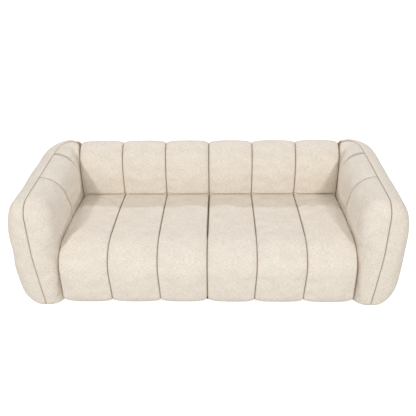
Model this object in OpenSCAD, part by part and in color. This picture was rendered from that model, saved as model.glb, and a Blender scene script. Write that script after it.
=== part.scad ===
// Channel-tufted three-seat tuxedo sofa, in millimetres.
// +X is the right-hand side seen from the front, the front faces -Y, +Z is up,
// and the origin is on the floor under the middle of the sofa.

/* [Overall] */
// Clear width between the two arms
seat_w = 1800; // [1500:10:2200]
// Depth from the arm fronts to the back of the sofa
overall_d = 1015; // [960:5:1100]
// Height of the arms and the back
top_h = 722; // [690:2:770]
// Space between the floor and the covers
floor_gap = 16; // [12:1:30]

/* [Seat] */
// Height of the seat at its highest, in the middle of a channel
seat_h = 406; // [385:1:420]
// How much lower the seat is where it meets the back
seat_fall = 36; // [20:1:55]
// How far the seat fronts stay behind the arm fronts
seat_setback = 30; // [22:1:45]
// Depth from the back's crest seam forward to the seams of its face
back_reach = 110; // [95:1:125]
// Height of the padding and cover above the spring deck
seat_build = 202; // [190:1:215]
// Rounding of the seat covers under the front edge
hem_r = 34; // [26:1:42]

/* [Channels] */
// Channels in each half of the seat and of the back
channels = 3; // [2:1:4]
// How far a channel swells beyond its seams
crown = 25; // [15:1:30]
// How far a back channel swells along the crest
crest_crown = 31; // [20:1:36]
// Fullness of a channel, from round to boxy
fullness = 3; // [2.2:0.1:4]
// Extra depth of the crease beside the arms
arm_crease = 20; // [8:1:24]
// Extra depth of the crease between the two seat halves
middle_crease = 9; // [0:1:15]

/* [Arms] */
// Width from an arm's crest seam to its inner face
arm_inner_w = 133; // [125:1:150]
// Width from an arm's crest seam to the widest of its outer side
arm_outer_w = 142; // [120:1:155]
// Height of the rounded shoulder along the top of an arm
shoulder_h = 152; // [130:1:175]
// Rounding of the arm fronts
front_r = 100; // [80:1:120]
// How far the crest seam draws in towards the floor
seam_draw = 34; // [0:1:40]
// How far the inner channels of an arm swell beyond their seams
arm_crown = 20; // [10:1:24]

/* [Back] */
// Width from the back's crest seam to the rear of the sofa
back_outer_w = 100; // [95:1:115]

/* [Padding] */
// Padding of the seat covers under their seams
seat_pad = 45; // [40:1:50]
// Padding of the back covers under their seams
back_pad = 54; // [50:1:58]
// Padding of the inner arm covers
arm_pad = 50; // [46:1:54]
// Padding of the outer covers
outer_pad = 20; // [14:1:24]

/* [Frame] */
// Thickness of the base rails
rail_t = 30; // [25:1:34]
// Width of the posts
post_w = 45; // [38:1:50]
// Height of the padding over the arm rails
arm_rail_drop = 127; // [115:1:140]
// Thickness of the plywood and board panels
board_t = 4; // [3:0.5:6]
// Diameter of the frame bolts
bolt_d = 8; // [6:1:10]

/* [Springs and feet] */
// Zigzag springs in each half of the seat
springs = 4; // [3:1:5]
// Width of a zigzag spring
spring_w = 52; // [48:1:60]
// Thickness of the spring wire
wire_t = 4; // [3:0.2:5]
// Spacing of the bends of a zigzag spring
bend_pitch = 33; // [30:1:37]
// Diameter of a foot where it meets the frame
foot_d = 64; // [50:1:70]

/* [Hidden] */

cloth = "#e8dfd0";
foam = "#f0e3ab";
timber = "#cfa873";
board = "#a9825a";
steel = "#8e9499";
black = "#2c2b2a";

// Clearances: beside a seam, between a soft piece and its seat, and round a bolt
seam_gap = 0.4;
soft_gap = 0.4;
bolt_gap = 0.3;

// Planes and heights that several pieces share
half_w = seat_w / 2;
front_y = -overall_d / 2;
back_y = overall_d / 2;
crest_x = half_w + arm_inner_w;
crest_y = back_y - back_outer_w;
seat_front_y = front_y + seat_setback;
face_y = crest_y - back_reach;
back_tuck = 12;
seat_rear_y = face_y + back_tuck;
groove_h = seat_h - crown;
deck_h = seat_h - seat_build;
ridge_z = top_h - crest_crown - 2;
tuck_h = deck_h + 20;
base_z = floor_gap + 17;

// Seams across the arms: between the front and the rear channel, and at the corner
front_channel = 355;
ab_y = front_y + front_channel;
ab_lean = 120;
corner_w = 112;
bc_lean = 30;
bc_y = face_y - corner_w;

// Roundness of the shoulders of the seat, the back and the two sides of an arm
seat_n = 2.5;
back_n = 1.8;
arm_n = 2.2;
flank_n = 3;
crest_n = 4;
plan_n = 2.9;

seat_round = 210;
seat_round_h = 180;
lumbar_z = 490;
shoulder_z = top_h - shoulder_h;
flank_z = 318;
flank_low_z = floor_gap - 8;
draw_top = 400;
bend_z = 480;
seam_dip = 6;
seam_pinch = 5;
notch_w = 42;
corner_crown = 11;
back_crease = 10;
front_pad = 36;
flank_pad = 45;
seam_front_n = 2.8;
crest_pad = 28;
ridge_pad = 34;

// Steps across a channel, and down the covers
u_steps = [0, 0.03, 0.12, 0.3, 0.5, 0.7, 0.88, 0.97, 1];
seat_ts = [90, 78, 66, 54, 42, 28, 12, 0];
hem_ts = [0, 25, 50, 90];
back_ts = [90, 82, 70, 58, 46, 34, 22, 10, 0];
back_lows = [0.35, 0.7, 0.9, 1];
arm_ts = [90, 86, 72, 58, 44, 30, 15, 0];
arm_lows = [0.12, 0.28, 0.5, 0.75, 0.93, 1];
arm_fades = [0, 0.3, 0.45, 0.7, 0.9, 1, 1, 1];
flank_ts = [90, 88, 80, 66, 52, 38, 24, 12, 0];
flank_end = asin(pow((flank_z - floor_gap) / (flank_z - flank_low_z), flank_n / 2));
notch_fades = [1, 0.85, 0.45, 0.12];

// Ease from 0 to 1 with level ends
function ease(x) = let (w = max(0, min(1, x))) w * w * (3 - 2 * w);
function mix(a, b, w) = a + (b - a) * w;
function unit(v) = v / norm(v);
// Fullness of a channel across its width, 0 at its seams and 1 in the middle
function swell(u) = pow(max(0, 1 - pow(abs(2 * u - 1), fullness)), 1 / fullness);
// How far a surface is drawn in at a distance from a seam, 1 at the seam
function notch(d) = 1 - pow(1 - pow(max(0, 1 - d / notch_w), fullness), 1 / fullness);
// Superellipse at an angle from 0 on the flank to 90 on the top
function bow_out(t, n) = pow(cos(t), 2 / n);
function bow_up(t, n) = pow(abs(sin(t)), 2 / n);
// Outward direction there, across and up
function bow_lean(t, n, a, b) = unit([pow(cos(t), 2 - 2 / n) / a, pow(abs(sin(t)), 2 - 2 / n) / b]);
// Which mark along a lining a place along the show side belongs to
function nearest(s, marks) = len([for (q = [1:len(marks) - 1]) if ((marks[q - 1] + marks[q]) / 2 <= s) 1]);

// Closed padded cover between its show side and its lining, both given in rows of points.
// show_at and lining_at say where along the rows the points lie.
module padded_cover(show, lining, show_at, lining_at, flip = false) {
    m = len(show) - 1;
    n = len(show[0]) - 1;
    k = len(lining[0]) - 1;
    first = (m + 1) * (n + 1);
    near = [for (i = [0:n]) i == 0 ? 0 : i == n ? k : nearest(show_at[i], lining_at)];
    function o(j, i) = j * (n + 1) + i;
    function q(j, i) = first + j * (k + 1) + i;
    faces = [
        for (j = [0:m - 1], i = [0:n - 1]) each [
            [o(j, i), o(j, i + 1), o(j + 1, i + 1)], [o(j, i), o(j + 1, i + 1), o(j + 1, i)]],
        for (j = [0:m - 1], i = [0:k - 1]) each [
            [q(j, i), q(j + 1, i + 1), q(j, i + 1)], [q(j, i), q(j + 1, i), q(j + 1, i + 1)]],
        for (j = [0:m - 1]) each [
            [o(j, 0), o(j + 1, 0), q(j + 1, 0)], [o(j, 0), q(j + 1, 0), q(j, 0)],
            [o(j + 1, n), o(j, n), q(j + 1, k)], [o(j, n), q(j, k), q(j + 1, k)]],
        for (i = [0:n - 1]) each concat(
            [[o(0, i + 1), o(0, i), q(0, near[i])], [o(m, i), o(m, i + 1), q(m, near[i])]],
            [for (w = [near[i]:1:near[i + 1] - 1]) each [
                [o(0, i + 1), q(0, w), q(0, w + 1)], [o(m, i + 1), q(m, w + 1), q(m, w)]]])
    ];
    points = concat([for (row = show) each row], [for (row = lining) each row]);
    polyhedron(points, flip ? [for (f = faces) [f[2], f[1], f[0]]] : faces, 10);
}

// Places across one half, from the middle of the sofa to the arm, as [place, channel, u]
half_steps = [for (i = [0:channels - 1], u = u_steps) if (i == 0 || u > 0) [(i + u) / channels, i, u]];
half_at = [for (s = half_steps) s[0]];
half_seams = [for (i = [0:channels]) i / channels];
function half_x(s) = mix(seam_gap, half_w - seam_gap, s);
// Swell above the seams, with extra creases at the middle and beside the arm
function half_swell(s, puff, middle, side) =
    let (a = s[1] == 0 ? middle : 0, b = s[1] == channels - 1 ? side : 0, drop = mix(a, b, s[2]))
    (puff + drop) * swell(s[2]) - drop;

// The seat's seam line from its rear, over the front edge and under the hem, as [y, z]
seat_turn_y = seat_front_y + seat_round;
hem_n = 3;
hem_fade = 0.85;
hem_z = floor_gap + hem_fade * crown + 0.5;
function seat_top_z(y) = groove_h - seat_fall * pow((y - seat_turn_y) / (seat_rear_y - seat_turn_y), 1.5);
seat_line = concat(
    [for (k = [0:4]) let (y = mix(seat_rear_y, seat_turn_y, k / 5)) [y, seat_top_z(y)]],
    [for (t = seat_ts) [seat_turn_y - seat_round * bow_out(t, seat_n),
                        groove_h - seat_round_h * (1 - bow_up(t, seat_n))]],
    [for (a = hem_ts) [seat_front_y + hem_r * (1 - bow_out(a, hem_n)), hem_z + hem_r * (1 - bow_up(a, hem_n))]]
);
// Outward direction at a point of a line of [y, z] points that runs forwards and down
function outward(line, j) =
    let (d = line[min(j + 1, len(line) - 1)] - line[max(j - 1, 0)]) unit([d[1], -d[0]]);
function seat_out(j) = j == 0 ? [0, 1] : j == len(seat_line) - 1 ? [0, -1] : outward(seat_line, j);
function seat_puff(p) = crown * mix(0.35, 1, ease((seat_rear_y - p[0]) / 260))
    * mix(hem_fade, 1, ease((p[1] - floor_gap) / 110));
// The lining lies under the seams as far as the hem, then runs straight down behind it
function seat_lining(j) = let (h = j - (len(seat_line) - len(hem_ts)))
    h < 0 ? seat_line[j] - seat_out(j) * seat_pad
          : [seat_front_y + seat_pad, hem_z + hem_r * (1 - hem_ts[h] / 180)];

module seat_cover() {
    last = len(seat_line) - 1;
    show = [for (j = [0:last]) let (p = seat_line[j], n = seat_out(j)) [for (s = half_steps)
        let (side = arm_crease * mix(0.45, 1, ease((p[1] - floor_gap) / 110)),
             w = half_swell(s, seat_puff(p), middle_crease, side))
        [half_x(s[0]), p[0] + n[0] * w, p[1] + n[1] * w]]];
    lining = [for (j = [0:last]) let (p = seat_lining(j)) [for (s = half_seams) [half_x(s), p[0], p[1]]]];
    padded_cover(show, lining, half_at, half_seams);
}
module seat_cover_right() { color(cloth) seat_cover(); }
module seat_cover_left() { color(cloth) mirror([1, 0, 0]) seat_cover(); }

// The back's seam line from its crest down behind the seat, as [y, z]
function face_at(z) = face_y + back_tuck * pow(max(0, min(1, (lumbar_z - z) / (lumbar_z - seat_meet_z))), 2);
seat_meet_z = groove_h - seat_fall + 14;
back_drop = lumbar_z - seat_meet_z;
back_line = concat(
    [for (t = back_ts) [crest_y - back_reach * bow_out(t, back_n),
                        mix(lumbar_z, ridge_z, bow_up(t, back_n))]],
    [for (w = back_lows) [face_at(lumbar_z - w * back_drop), lumbar_z - w * back_drop]],
    [[seat_rear_y + seam_gap, tuck_h]]
);
function back_out(j) = j == 0 ? [0, 1] : j >= len(back_line) - 2 ? [-1, 0] : outward(back_line, j);
function back_puff(p) = mix(crown, crest_crown, ease((p[1] - lumbar_z) / (ridge_z - lumbar_z)))
    * ease((p[1] - seat_meet_z) / 20);
function back_lining(gap) = concat(
    [for (t = back_ts) [crest_y - (back_reach - back_pad - gap) * bow_out(t, back_n),
                        mix(lumbar_z, ridge_z - ridge_pad - gap, bow_up(t, back_n))]],
    [for (w = back_lows) [face_y + back_pad + gap, lumbar_z - w * back_drop]],
    [[face_y + back_pad + gap, tuck_h]]
);

module back_cover() {
    last = len(back_line) - 1;
    inside = back_lining(0);
    show = [for (j = [0:last]) let (p = back_line[j], n = back_out(j)) [for (s = half_steps)
        let (w = p[1] > seat_meet_z ? half_swell(s, back_puff(p), middle_crease / 3, back_crease) : 0)
        [half_x(s[0]), min(p[0] + n[0] * w, crest_y - seam_gap), p[1] + n[1] * w]]];
    lining = [for (j = [0:last]) [for (s = half_seams)
        [half_x(s), min(inside[j][0], crest_y - seam_gap), inside[j][1]]]];
    padded_cover(show, lining, half_at, half_seams);
}
module back_cover_right() { color(cloth) back_cover(); }
module back_cover_left() { color(cloth) mirror([1, 0, 0]) back_cover(); }

// Along an arm, s runs 0 to 1 round the arm front, to 2 at the seam across the arm,
// to 3 at the corner seam and to 4 round the corner to the back cushion
front_ss = [0, 0.05, 0.18, 0.38, 0.6, 0.8, 1];
inner_ss = concat(front_ss, [1.25, 1.5, 1.75, 1.92, 2, 2.08, 2.25, 2.5, 2.75, 2.92, 3]);
outer_ss = concat(front_ss, [1.5, 2, 2.5, 3]);
corner_ss = [3, 3.02, 3.22, 3.44, 3.64, 3.82, 3.93, 3.98, 4];
function arm_round(s, n) = s < 1 ? pow(sin(90 * s), 2 / n) : 1;
function front_curve(s, pad) = front_y + pad
    + (front_r - pad) * (1 - pow(cos(90 * min(s, 1)), 2 / arm_n))
    + (s == 0 && pad == 0 ? seam_dip : 0);
// The lining of an inner arm cover turns the front corner square, round the post
function lining_turn(s) = front_y + front_pad + (front_r - front_pad) * max(0, 2 * s - 1);
// The front of the arm draws in at the floor
function front_tuck(z, s) = let (r = 40, w = max(0, floor_gap + 24 - z))
    s < 1 ? (r - sqrt(r * r - w * w)) * (1 - s) : 0;
// The crest seam, which draws in towards the floor down the arm front
function crest_at(z) = crest_x - seam_draw * pow(max(0, 1 - z / draw_top), 1.2);
// The top of an arm falls away round its front
function arm_rise(z, s) = let (top = top_h - front_r * (1 - arm_round(s, arm_n)))
    z > bend_z ? bend_z + (z - bend_z) * (top - bend_z) / (top_h - bend_z) : z;
// The seams across the arm lean back on their way down
function seam_ab(z) = ab_y + ab_lean * pow(ease((top_h - z) / (top_h - groove_h)), 1.2);
function seam_bc(z) = bc_y + bc_lean * ease((top_h - z) / (1.1 * shoulder_h));
function inner_swell(s) = s <= 1.5 ? 1 : s <= 2 ? swell(s - 1) : swell(s - 2);
function above_seat(z) = ease((z - seat_h) / 60);

arm_rows = concat([for (t = arm_ts) [t, 0]], [for (w = arm_lows) [0, w]]);

// Point of an inner arm cover: r is the row, s the place along the arm, deep 1 on the lining
function inner_point(s, r, deep) =
    let (t = arm_rows[r][0], low = arm_rows[r][1], rise = top_h - crest_pad * deep - shoulder_z,
         foot = s <= 1 ? floor_gap : tuck_h,
         side_x = half_w + seam_gap + arm_pad * deep,
         zs = low > 0 ? mix(shoulder_z, foot, low) : shoulder_z + rise * bow_up(t, arm_n),
         z = arm_rise(zs, s),
         cx = crest_at(z) - seam_gap,
         g = deep > 0 ? min(1, 2 * s) : arm_round(s, arm_n),
         fade = low > 0 ? above_seat(z) : arm_fades[r],
         puff = deep > 0 ? 0 : arm_crown * inner_swell(s) * fade * g,
         lean = bow_lean(t, arm_n, arm_inner_w, rise),
         y = s < 1 ? (deep > 0 ? lining_turn(s) : front_curve(s, 0) + front_tuck(z, s))
           : s < 2 ? mix(front_y + front_r, seam_ab(z), s - 1)
           : mix(seam_ab(z), seam_bc(z) - seam_gap, s - 2),
         pinch = r == 0 ? crest_drop(s) : 0)
    [cx - (cx - side_x) * bow_out(t, arm_n) * g - puff * lean[0], y, z + puff * lean[1] - pinch];

module arm_inner_cover() {
    rows = [0:len(arm_rows) - 1];
    lining_ss = [0, 0.5, 1, 1.25, 2, 3];
    show = [for (r = rows) [for (s = inner_ss) inner_point(s, r, 0)]];
    lining = [for (r = rows) [for (s = lining_ss) inner_point(s, r, 1)]];
    padded_cover(show, lining, inner_ss, lining_ss, true);
}
module arm_inner_cover_right() { color(cloth) arm_inner_cover(); }
module arm_inner_cover_left() { color(cloth) mirror([1, 0, 0]) arm_inner_cover(); }

// Share of the way round the corner, and how the crest height drops into the seam at the back
function corner_turn(s) = ease(s - 3);
function corner_full(s, px, dy) = let (x = px * corner_out(s), y = dy * corner_back(s, px))
    (1 - notch(norm([px - x, y]))) * (1 - notch(norm([x, dy - y])));
// Shares across and back along the corner, evenly spaced where it has no width
function corner_out(s) = pow(cos(90 * (s - 3)), 2 / crest_n);
function corner_back(s, px) = mix(s - 3, pow(sin(90 * (s - 3)), 2 / crest_n), min(1, px / 40));

// Point of a corner cover, from the arm's seam profile round to the back's
function corner_point(s, r, deep) =
    let (t = arm_rows[r][0], low = arm_rows[r][1],
         rise = top_h - crest_pad * deep - shoulder_z,
         side_z = low > 0 ? mix(shoulder_z, tuck_h, low) : shoulder_z + rise * bow_up(t, arm_n),
         arm_z = side_z - (r == 0 ? seam_dip + seam_pinch : 0),
         from_y = seam_bc(side_z) + seam_gap,
         back_top = ridge_z - (deep > 0 ? ridge_pad : back_crease),
         back_z = low > 0 ? mix(lumbar_z, tuck_h, low) : mix(lumbar_z, back_top, bow_up(t, back_n)),
         reach = back_reach - (deep > 0 ? back_pad : back_crease * (low > 0 ? above_seat(back_z) : 1)),
         back_py = low > 0 && deep == 0 ? face_at(back_z) + back_crease * above_seat(back_z)
             : crest_y - seam_gap - reach * (low > 0 ? 1 : bow_out(t, back_n)),
         px = max(3, arm_inner_w - 2 * seam_gap - (arm_inner_w - 2 * seam_gap - arm_pad * deep)
             * (low > 0 ? 1 : bow_out(t, arm_n))),
         dy = back_py - from_y,
         a = 90 * (s - 3), turn = corner_turn(s),
         lean = bow_lean(t, arm_n, arm_inner_w, rise),
         fade = low > 0 ? above_seat(mix(arm_z, back_z, turn)) : mix(arm_fades[r], 1, turn),
         puff = deep > 0 ? 0 : fade * mix(corner_crown, r > 3 ? corner_crown : crest_crown + back_crease, turn)
             * corner_full(s, px, dy))
    [half_w + seam_gap + px * corner_out(s) - puff * lean[0] * cos(a),
     from_y + dy * corner_back(s, px) - puff * lean[0] * sin(a),
     mix(arm_z, back_z, turn) + puff * lean[1]];

module corner_cover() {
    rows = [0:len(arm_rows) - 1];
    lining_ss = [3, 3.44, 3.82, 4];
    show = [for (r = rows) [for (s = corner_ss) corner_point(s, r, 0)]];
    lining = [for (r = rows) [for (s = lining_ss) corner_point(s, r, 1)]];
    padded_cover(show, lining, corner_ss, lining_ss, true);
}
module corner_cover_right() { color(cloth) corner_cover(); }
module corner_cover_left() { color(cloth) mirror([1, 0, 0]) corner_cover(); }

// Rows of the outer covers, as angles from the crest over the flank to the floor
flank_rows = concat(flank_ts, [for (k = [1:5]) -flank_end * k / 5]);
function flank_z_at(t, pad) = t >= 0 ? mix(flank_z, top_h - pad, bow_up(t, flank_n))
    : flank_z - (flank_z - flank_low_z) * bow_up(t, flank_n);
// Share of the flank's width; the lining keeps clear of the crest seam
function flank_out(r, deep) = max(bow_out(flank_rows[r], flank_n), deep * min(0.16, 0.1 + 0.03 * r));
// How far the crest lies below the top of the outer cover
function crest_drop(s) = s <= 3 ? seam_dip * arm_round(s, arm_n) + (s > 1 ? seam_pinch * (1 - inner_swell(s)) : 0)
    : top_h - corner_point(s, 0, 0)[2];

// Point of an outer arm cover, which wraps the corner to the back
function outer_point(s, r, deep) =
    let (t = flank_rows[r],
         drop = deep > 0 || r >= len(notch_fades) ? 0 : crest_drop(s) * notch_fades[r],
         z = arm_rise(flank_z_at(t, flank_pad * deep), s) - drop,
         c = flank_out(r, deep),
         cx = crest_at(z) + seam_gap,
         side_x = crest_x + seam_gap + (arm_outer_w - seam_gap - outer_pad * deep) * c,
         side_y = crest_y + seam_gap + (back_outer_w - seam_gap - outer_pad * deep) * c,
         g = arm_round(s, seam_front_n), a = 90 * (s - 3), n = mix(crest_n, plan_n, c))
    s <= 3 ? [cx + (side_x - cx) * g,
              s < 1 ? front_curve(s, front_pad * deep) + front_tuck(z, s)
                    : mix(front_y + front_r, bc_y, (s - 1) / 2), z]
           : [half_w + seam_gap + (side_x - half_w - seam_gap) * pow(cos(a), 2 / n),
              bc_y + (side_y - bc_y) * pow(sin(a), 2 / n), z];

module arm_outer_cover() {
    rows = [0:len(flank_rows) - 1];
    show_ss = concat(outer_ss, [for (i = [1:len(corner_ss) - 1]) corner_ss[i]]);
    lining_ss = [0, 0.5, 1, 3, 3.44, 3.82, 4];
    show = [for (r = rows) [for (s = show_ss) outer_point(s, r, 0)]];
    lining = [for (r = rows) [for (s = lining_ss) outer_point(s, r, 1)]];
    padded_cover(show, lining, show_ss, lining_ss);
}
module arm_outer_cover_right() { color(cloth) arm_outer_cover(); }
module arm_outer_cover_left() { color(cloth) mirror([1, 0, 0]) arm_outer_cover(); }

// The outer back cover follows the channels along the crest and is plain below
rear_us = [0, 0.05, 0.2, 0.5, 0.8, 0.95, 1];
rear_steps = [for (i = [0:channels - 1], u = rear_us) if (i == 0 || u > 0) [(i + u) / channels, i, u]];
module back_outer_cover() {
    half = len(rear_steps) - 1;
    steps = concat([for (i = [half:-1:1]) [-1, rear_steps[i]]], [for (s = rear_steps) [1, s]]);
    at = [for (s = steps) s[0] * s[1][0]];
    rows = [0:len(flank_rows) - 1];
    function x_at(s) = s[0] * (half_w - seam_gap) * s[1][0];
    function y_at(r, pad) = crest_y + seam_gap + (back_outer_w - seam_gap - pad)
        * flank_out(r, pad > 0 ? 1 : 0);
    function drop(s, r) = r >= len(notch_fades) ? 0
        : notch_fades[r] * (top_h - ridge_z - half_swell(s[1], crest_crown, middle_crease / 3, back_crease));
    show = [for (r = rows) [for (s = steps)
        [x_at(s), y_at(r, 0), flank_z_at(flank_rows[r], 0) - drop(s, r)]]];
    seams = [for (i = [-channels:channels]) i / channels];
    lining = [for (r = rows) [for (s = seams)
        [s * (half_w - seam_gap), y_at(r, outer_pad), flank_z_at(flank_rows[r], flank_pad)]]];
    color(cloth) padded_cover(show, lining, at, seams, true);
}

// Planes of the frame
nose_t = 15;
rail_front_y = seat_front_y + seat_pad + nose_t + 2 * soft_gap;
base_front_y = rail_front_y + rail_t;
base_x = half_w - 1;
spring_rail_y = seat_rear_y - rail_t;
post_y = face_y + back_pad + 50;
post_d = 40;
back_rail_t = 20;
back_rail_h = 80;
back_rail_top = ridge_z - ridge_pad - 30;
arm_x = half_w + seam_gap + arm_pad + soft_gap + board_t;
arm_front_y = front_y + front_pad + soft_gap;
arm_rail_top = top_h - arm_rail_drop;
spacer_y = mix(front_y + front_r, seam_ab(tuck_h), 0.25) + 4;
spacer_h = 105;
spacer_top = base_z + spacer_h;
bolt_z = base_z + 22;

// Lay out a profile of [y, z] points along X, or one of [x, z] points along Y
module along_x(x0, x1) { translate([x0, 0, 0]) rotate([90, 0, 90]) linear_extrude(x1 - x0) children(); }
module along_y(y0, y1) { translate([0, y1, 0]) rotate([90, 0, 0]) linear_extrude(y1 - y0) children(); }
module block(low, high) { translate(low) cube(high - low); }
module bolt_hole(d) { cylinder(h = d, d = bolt_d + 2 * bolt_gap, $fn = 24); }

// Foam and springs
clip_t = 1.2;
clip_h = 2 * clip_t + wire_t + 2 * bolt_gap;
foam_z = deck_h + clip_h + soft_gap;
nose_z = hem_z + hem_r + 2;
module seat_foam() {
    rows = [for (j = [0:len(seat_line) - len(hem_ts) - 1]) seat_line[j] - seat_out(j) * (seat_pad + soft_gap)];
    front = seat_front_y + seat_pad + soft_gap;
    along_x(seam_gap, base_x) polygon(concat(
        rows, [[front, nose_z], [rail_front_y - soft_gap, nose_z], [rail_front_y - soft_gap, foam_z],
               [seat_rear_y, foam_z]]));
}
module seat_foam_right() { color(foam) seat_foam(); }
module seat_foam_left() { color(foam) mirror([1, 0, 0]) seat_foam(); }

web_t = 1.5;
web_w = 50;
web_y = post_y - back_rail_t - web_t;
module back_foam() {
    rear = web_y - soft_gap;
    rows = [for (p = back_lining(soft_gap)) if (p[0] < rear - 2) p];
    along_x(seam_gap, base_x) polygon(concat([[rear, rows[0][1]]], rows, [[rear, tuck_h]]));
}
module back_foam_right() { color(foam) back_foam(); }
module back_foam_left() { color(foam) mirror([1, 0, 0]) back_foam(); }

module arm_foam() {
    a = arm_inner_w - arm_pad - 2 * soft_gap;
    b = top_h - crest_pad - soft_gap - shoulder_z;
    c = arm_outer_w - outer_pad - soft_gap;
    side_x = arm_x + post_w + board_t + soft_gap;
    over = [for (i = [len(arm_ts) - 3:-1:1]) let (t = arm_ts[i])
        [crest_x - a * bow_out(t, arm_n), shoulder_z + b * bow_up(t, arm_n)]];
    flank = [for (r = [1:len(flank_rows) - 2]) let (t = flank_rows[r])
        [crest_x + c * bow_out(t, flank_n), flank_z_at(t, flank_pad + soft_gap)]];
    along_y(front_y + front_r + soft_gap, bc_y) polygon(concat(
        [[side_x, flank[len(flank) - 1][1]], [side_x, arm_rail_top + soft_gap],
         [arm_x, arm_rail_top + soft_gap]], over, flank));
}
module arm_foam_right() { color(foam) arm_foam(); }
module arm_foam_left() { color(foam) mirror([1, 0, 0]) arm_foam(); }

// A zigzag spring: bars across, joined by bends at alternate sides
spring_y0 = rail_front_y + 20;
spring_y1 = spring_rail_y + 10;
bends = 2 * round((spring_y1 - spring_y0) / bend_pitch / 2 - 0.5) + 1;
spring_pitch = (spring_y1 - spring_y0) / bends;
spring_lane = (base_x - rail_t - rail_t / 2) / springs;
function spring_x(k) = rail_t / 2 + (k + 0.5) * spring_lane;
module zigzag() {
    r = spring_pitch / 2;
    h = wire_t / 2;
    function bend(k, edge) = let (side = k % 2 == 0 ? 1 : -1) [for (a = [-90:45:90])
        [side * (spring_w / 2 - r + (r + side * edge * h) * cos(a)),
         spring_y0 + (k + 0.5) * spring_pitch + (r + side * edge * h) * sin(a)]];
    stop = spring_w / 2 - r;
    left = concat([[-stop, spring_y0 + h]], [for (k = [0:bends - 1]) each bend(k, -1)],
        [[-stop, spring_y1 - h]]);
    right = concat([[-stop, spring_y0 - h]], [for (k = [0:bends - 1]) each bend(k, 1)],
        [[-stop, spring_y1 + h]]);
    polygon(concat(left, [for (i = [len(right) - 1:-1:0]) right[i]]));
}
module seat_springs() {
    for (k = [0:springs - 1]) translate([spring_x(k), 0, deck_h + clip_t + bolt_gap])
        linear_extrude(wire_t) zigzag();
}
module seat_springs_right() { color(steel) seat_springs(); }
module seat_springs_left() { color(steel) mirror([1, 0, 0]) seat_springs(); }

// Clips that hold the end bars of the springs on the rails
module clip() {
    inner = wire_t / 2 + bolt_gap + clip_t;
    half = spring_w / 2 - spring_pitch / 2 - 1;
    along_x(-half, half) polygon([[-14, 0], [inner, 0], [inner, clip_h], [-4, clip_h], [-4, clip_h - clip_t],
        [inner - clip_t, clip_h - clip_t], [inner - clip_t, clip_t], [-14, clip_t]]);
}
module spring_clips() {
    color(steel) for (side = [-1, 1], k = [0:springs - 1]) translate([side * spring_x(k), 0, deck_h]) {
        translate([0, spring_y0, 0]) clip();
        translate([0, spring_y1, 0]) mirror([0, 1, 0]) clip();
    }
}

module back_webbing() {
    color(black) for (side = [-1, 1], i = [0:channels - 1])
        let (x = side * (i + 0.5) * half_w / channels, low = tuck_h + back_rail_h / 4)
        block([x - web_w / 2, web_y, low], [x + web_w / 2, web_y + web_t, back_rail_top - 10]);
}

// Base frame
foot_x = arm_x + post_w / 2;
foot_front_y = base_front_y + 34;
foot_rear_y = crest_y - 40;
foot_bolt_low = 14;
foot_bolt_grip = 40;
arm_bolt_grip = 34;
post_bolt_grip = 20;
panel_low = base_z + 15;
module foot_hole(x, y) {
    translate([x, y, base_z - 1]) bolt_hole(foot_bolt_grip + 1);
}
module base_front_rail() {
    color(timber) block([-base_x, rail_front_y, base_z], [base_x, base_front_y, deck_h]);
}
module base_end_rail() {
    difference() {
        block([base_x - rail_t, base_front_y, base_z], [base_x, post_y + post_d, deck_h]);
        for (y = arm_bolt_ys) translate([base_x - rail_t - 1, y, bolt_z]) rotate([0, 90, 0]) bolt_hole(rail_t + 2);
        for (z = back_bolt_zs) translate([base_x - rail_t - 1, back_bolt_y, z])
            rotate([0, 90, 0]) bolt_hole(post_bolt_grip + 2);
    }
}
module base_end_rail_right() { color(timber) base_end_rail(); }
module base_end_rail_left() { color(timber) mirror([1, 0, 0]) base_end_rail(); }
module base_centre_rail() {
    color(timber) difference() {
        block([-rail_t / 2, base_front_y, base_z], [rail_t / 2, post_y, deck_h]);
        foot_hole(0, foot_front_y);
        foot_hole(0, foot_rear_y);
        for (z = back_bolt_zs) translate([0, post_y + 1, z]) rotate([90, 0, 0]) bolt_hole(arm_bolt_grip + 2);
    }
}
module spring_rail() {
    block([rail_t / 2, spring_rail_y, base_z], [base_x - rail_t, seat_rear_y, deck_h]);
}
module spring_rail_right() { color(timber) spring_rail(); }
module spring_rail_left() { color(timber) mirror([1, 0, 0]) spring_rail(); }
module corner_blocks() {
    leg = 70;
    h = 80;
    low = deck_h - h - wire_t;
    color(timber) for (side = [0, 1]) mirror([side, 0, 0]) translate([base_x - rail_t, 0, low]) {
        translate([0, base_front_y, 0]) linear_extrude(h) polygon([[0, 0], [0, leg], [-leg, 0]]);
        translate([0, spring_rail_y, 0]) linear_extrude(h) polygon([[0, 0], [-leg, 0], [0, -leg]]);
    }
}

// Back frame
arm_bolt_ys = [spacer_y + 60, 60, post_y - 60];
back_bolt_y = post_y + post_d / 2;
back_bolt_zs = [mix(base_z, deck_h, 0.35), mix(base_z, deck_h, 0.8)];
back_post_x = base_x - rail_t - post_w;
bolt_head_h = 0.6 * bolt_d;
module back_post() {
    difference() {
        block([back_post_x, post_y, base_z], [back_post_x + post_w, post_y + post_d, back_rail_top]);
        for (z = back_bolt_zs) translate([back_post_x - 1, back_bolt_y, z]) rotate([0, 90, 0]) bolt_hole(post_w + 2);
    }
}
module back_post_right() { color(timber) back_post(); }
module back_post_left() { color(timber) mirror([1, 0, 0]) back_post(); }
module back_post_centre() {
    rear = post_y + post_d;
    color(timber) difference() {
        block([-post_w / 2, post_y, base_z], [post_w / 2, rear, back_rail_top]);
        for (z = back_bolt_zs) translate([0, rear + 1, z]) rotate([90, 0, 0]) {
            bolt_hole(post_d + 2);
            cylinder(h = 2 + bolt_head_h, d = 2 * bolt_d + 2, $fn = 32);
        }
    }
}
module back_rail(low) {
    block([-base_x + rail_t, post_y - back_rail_t, low], [base_x - rail_t, post_y, low + back_rail_h]);
}
module back_top_rail() { color(timber) back_rail(back_rail_top - back_rail_h); }
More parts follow.
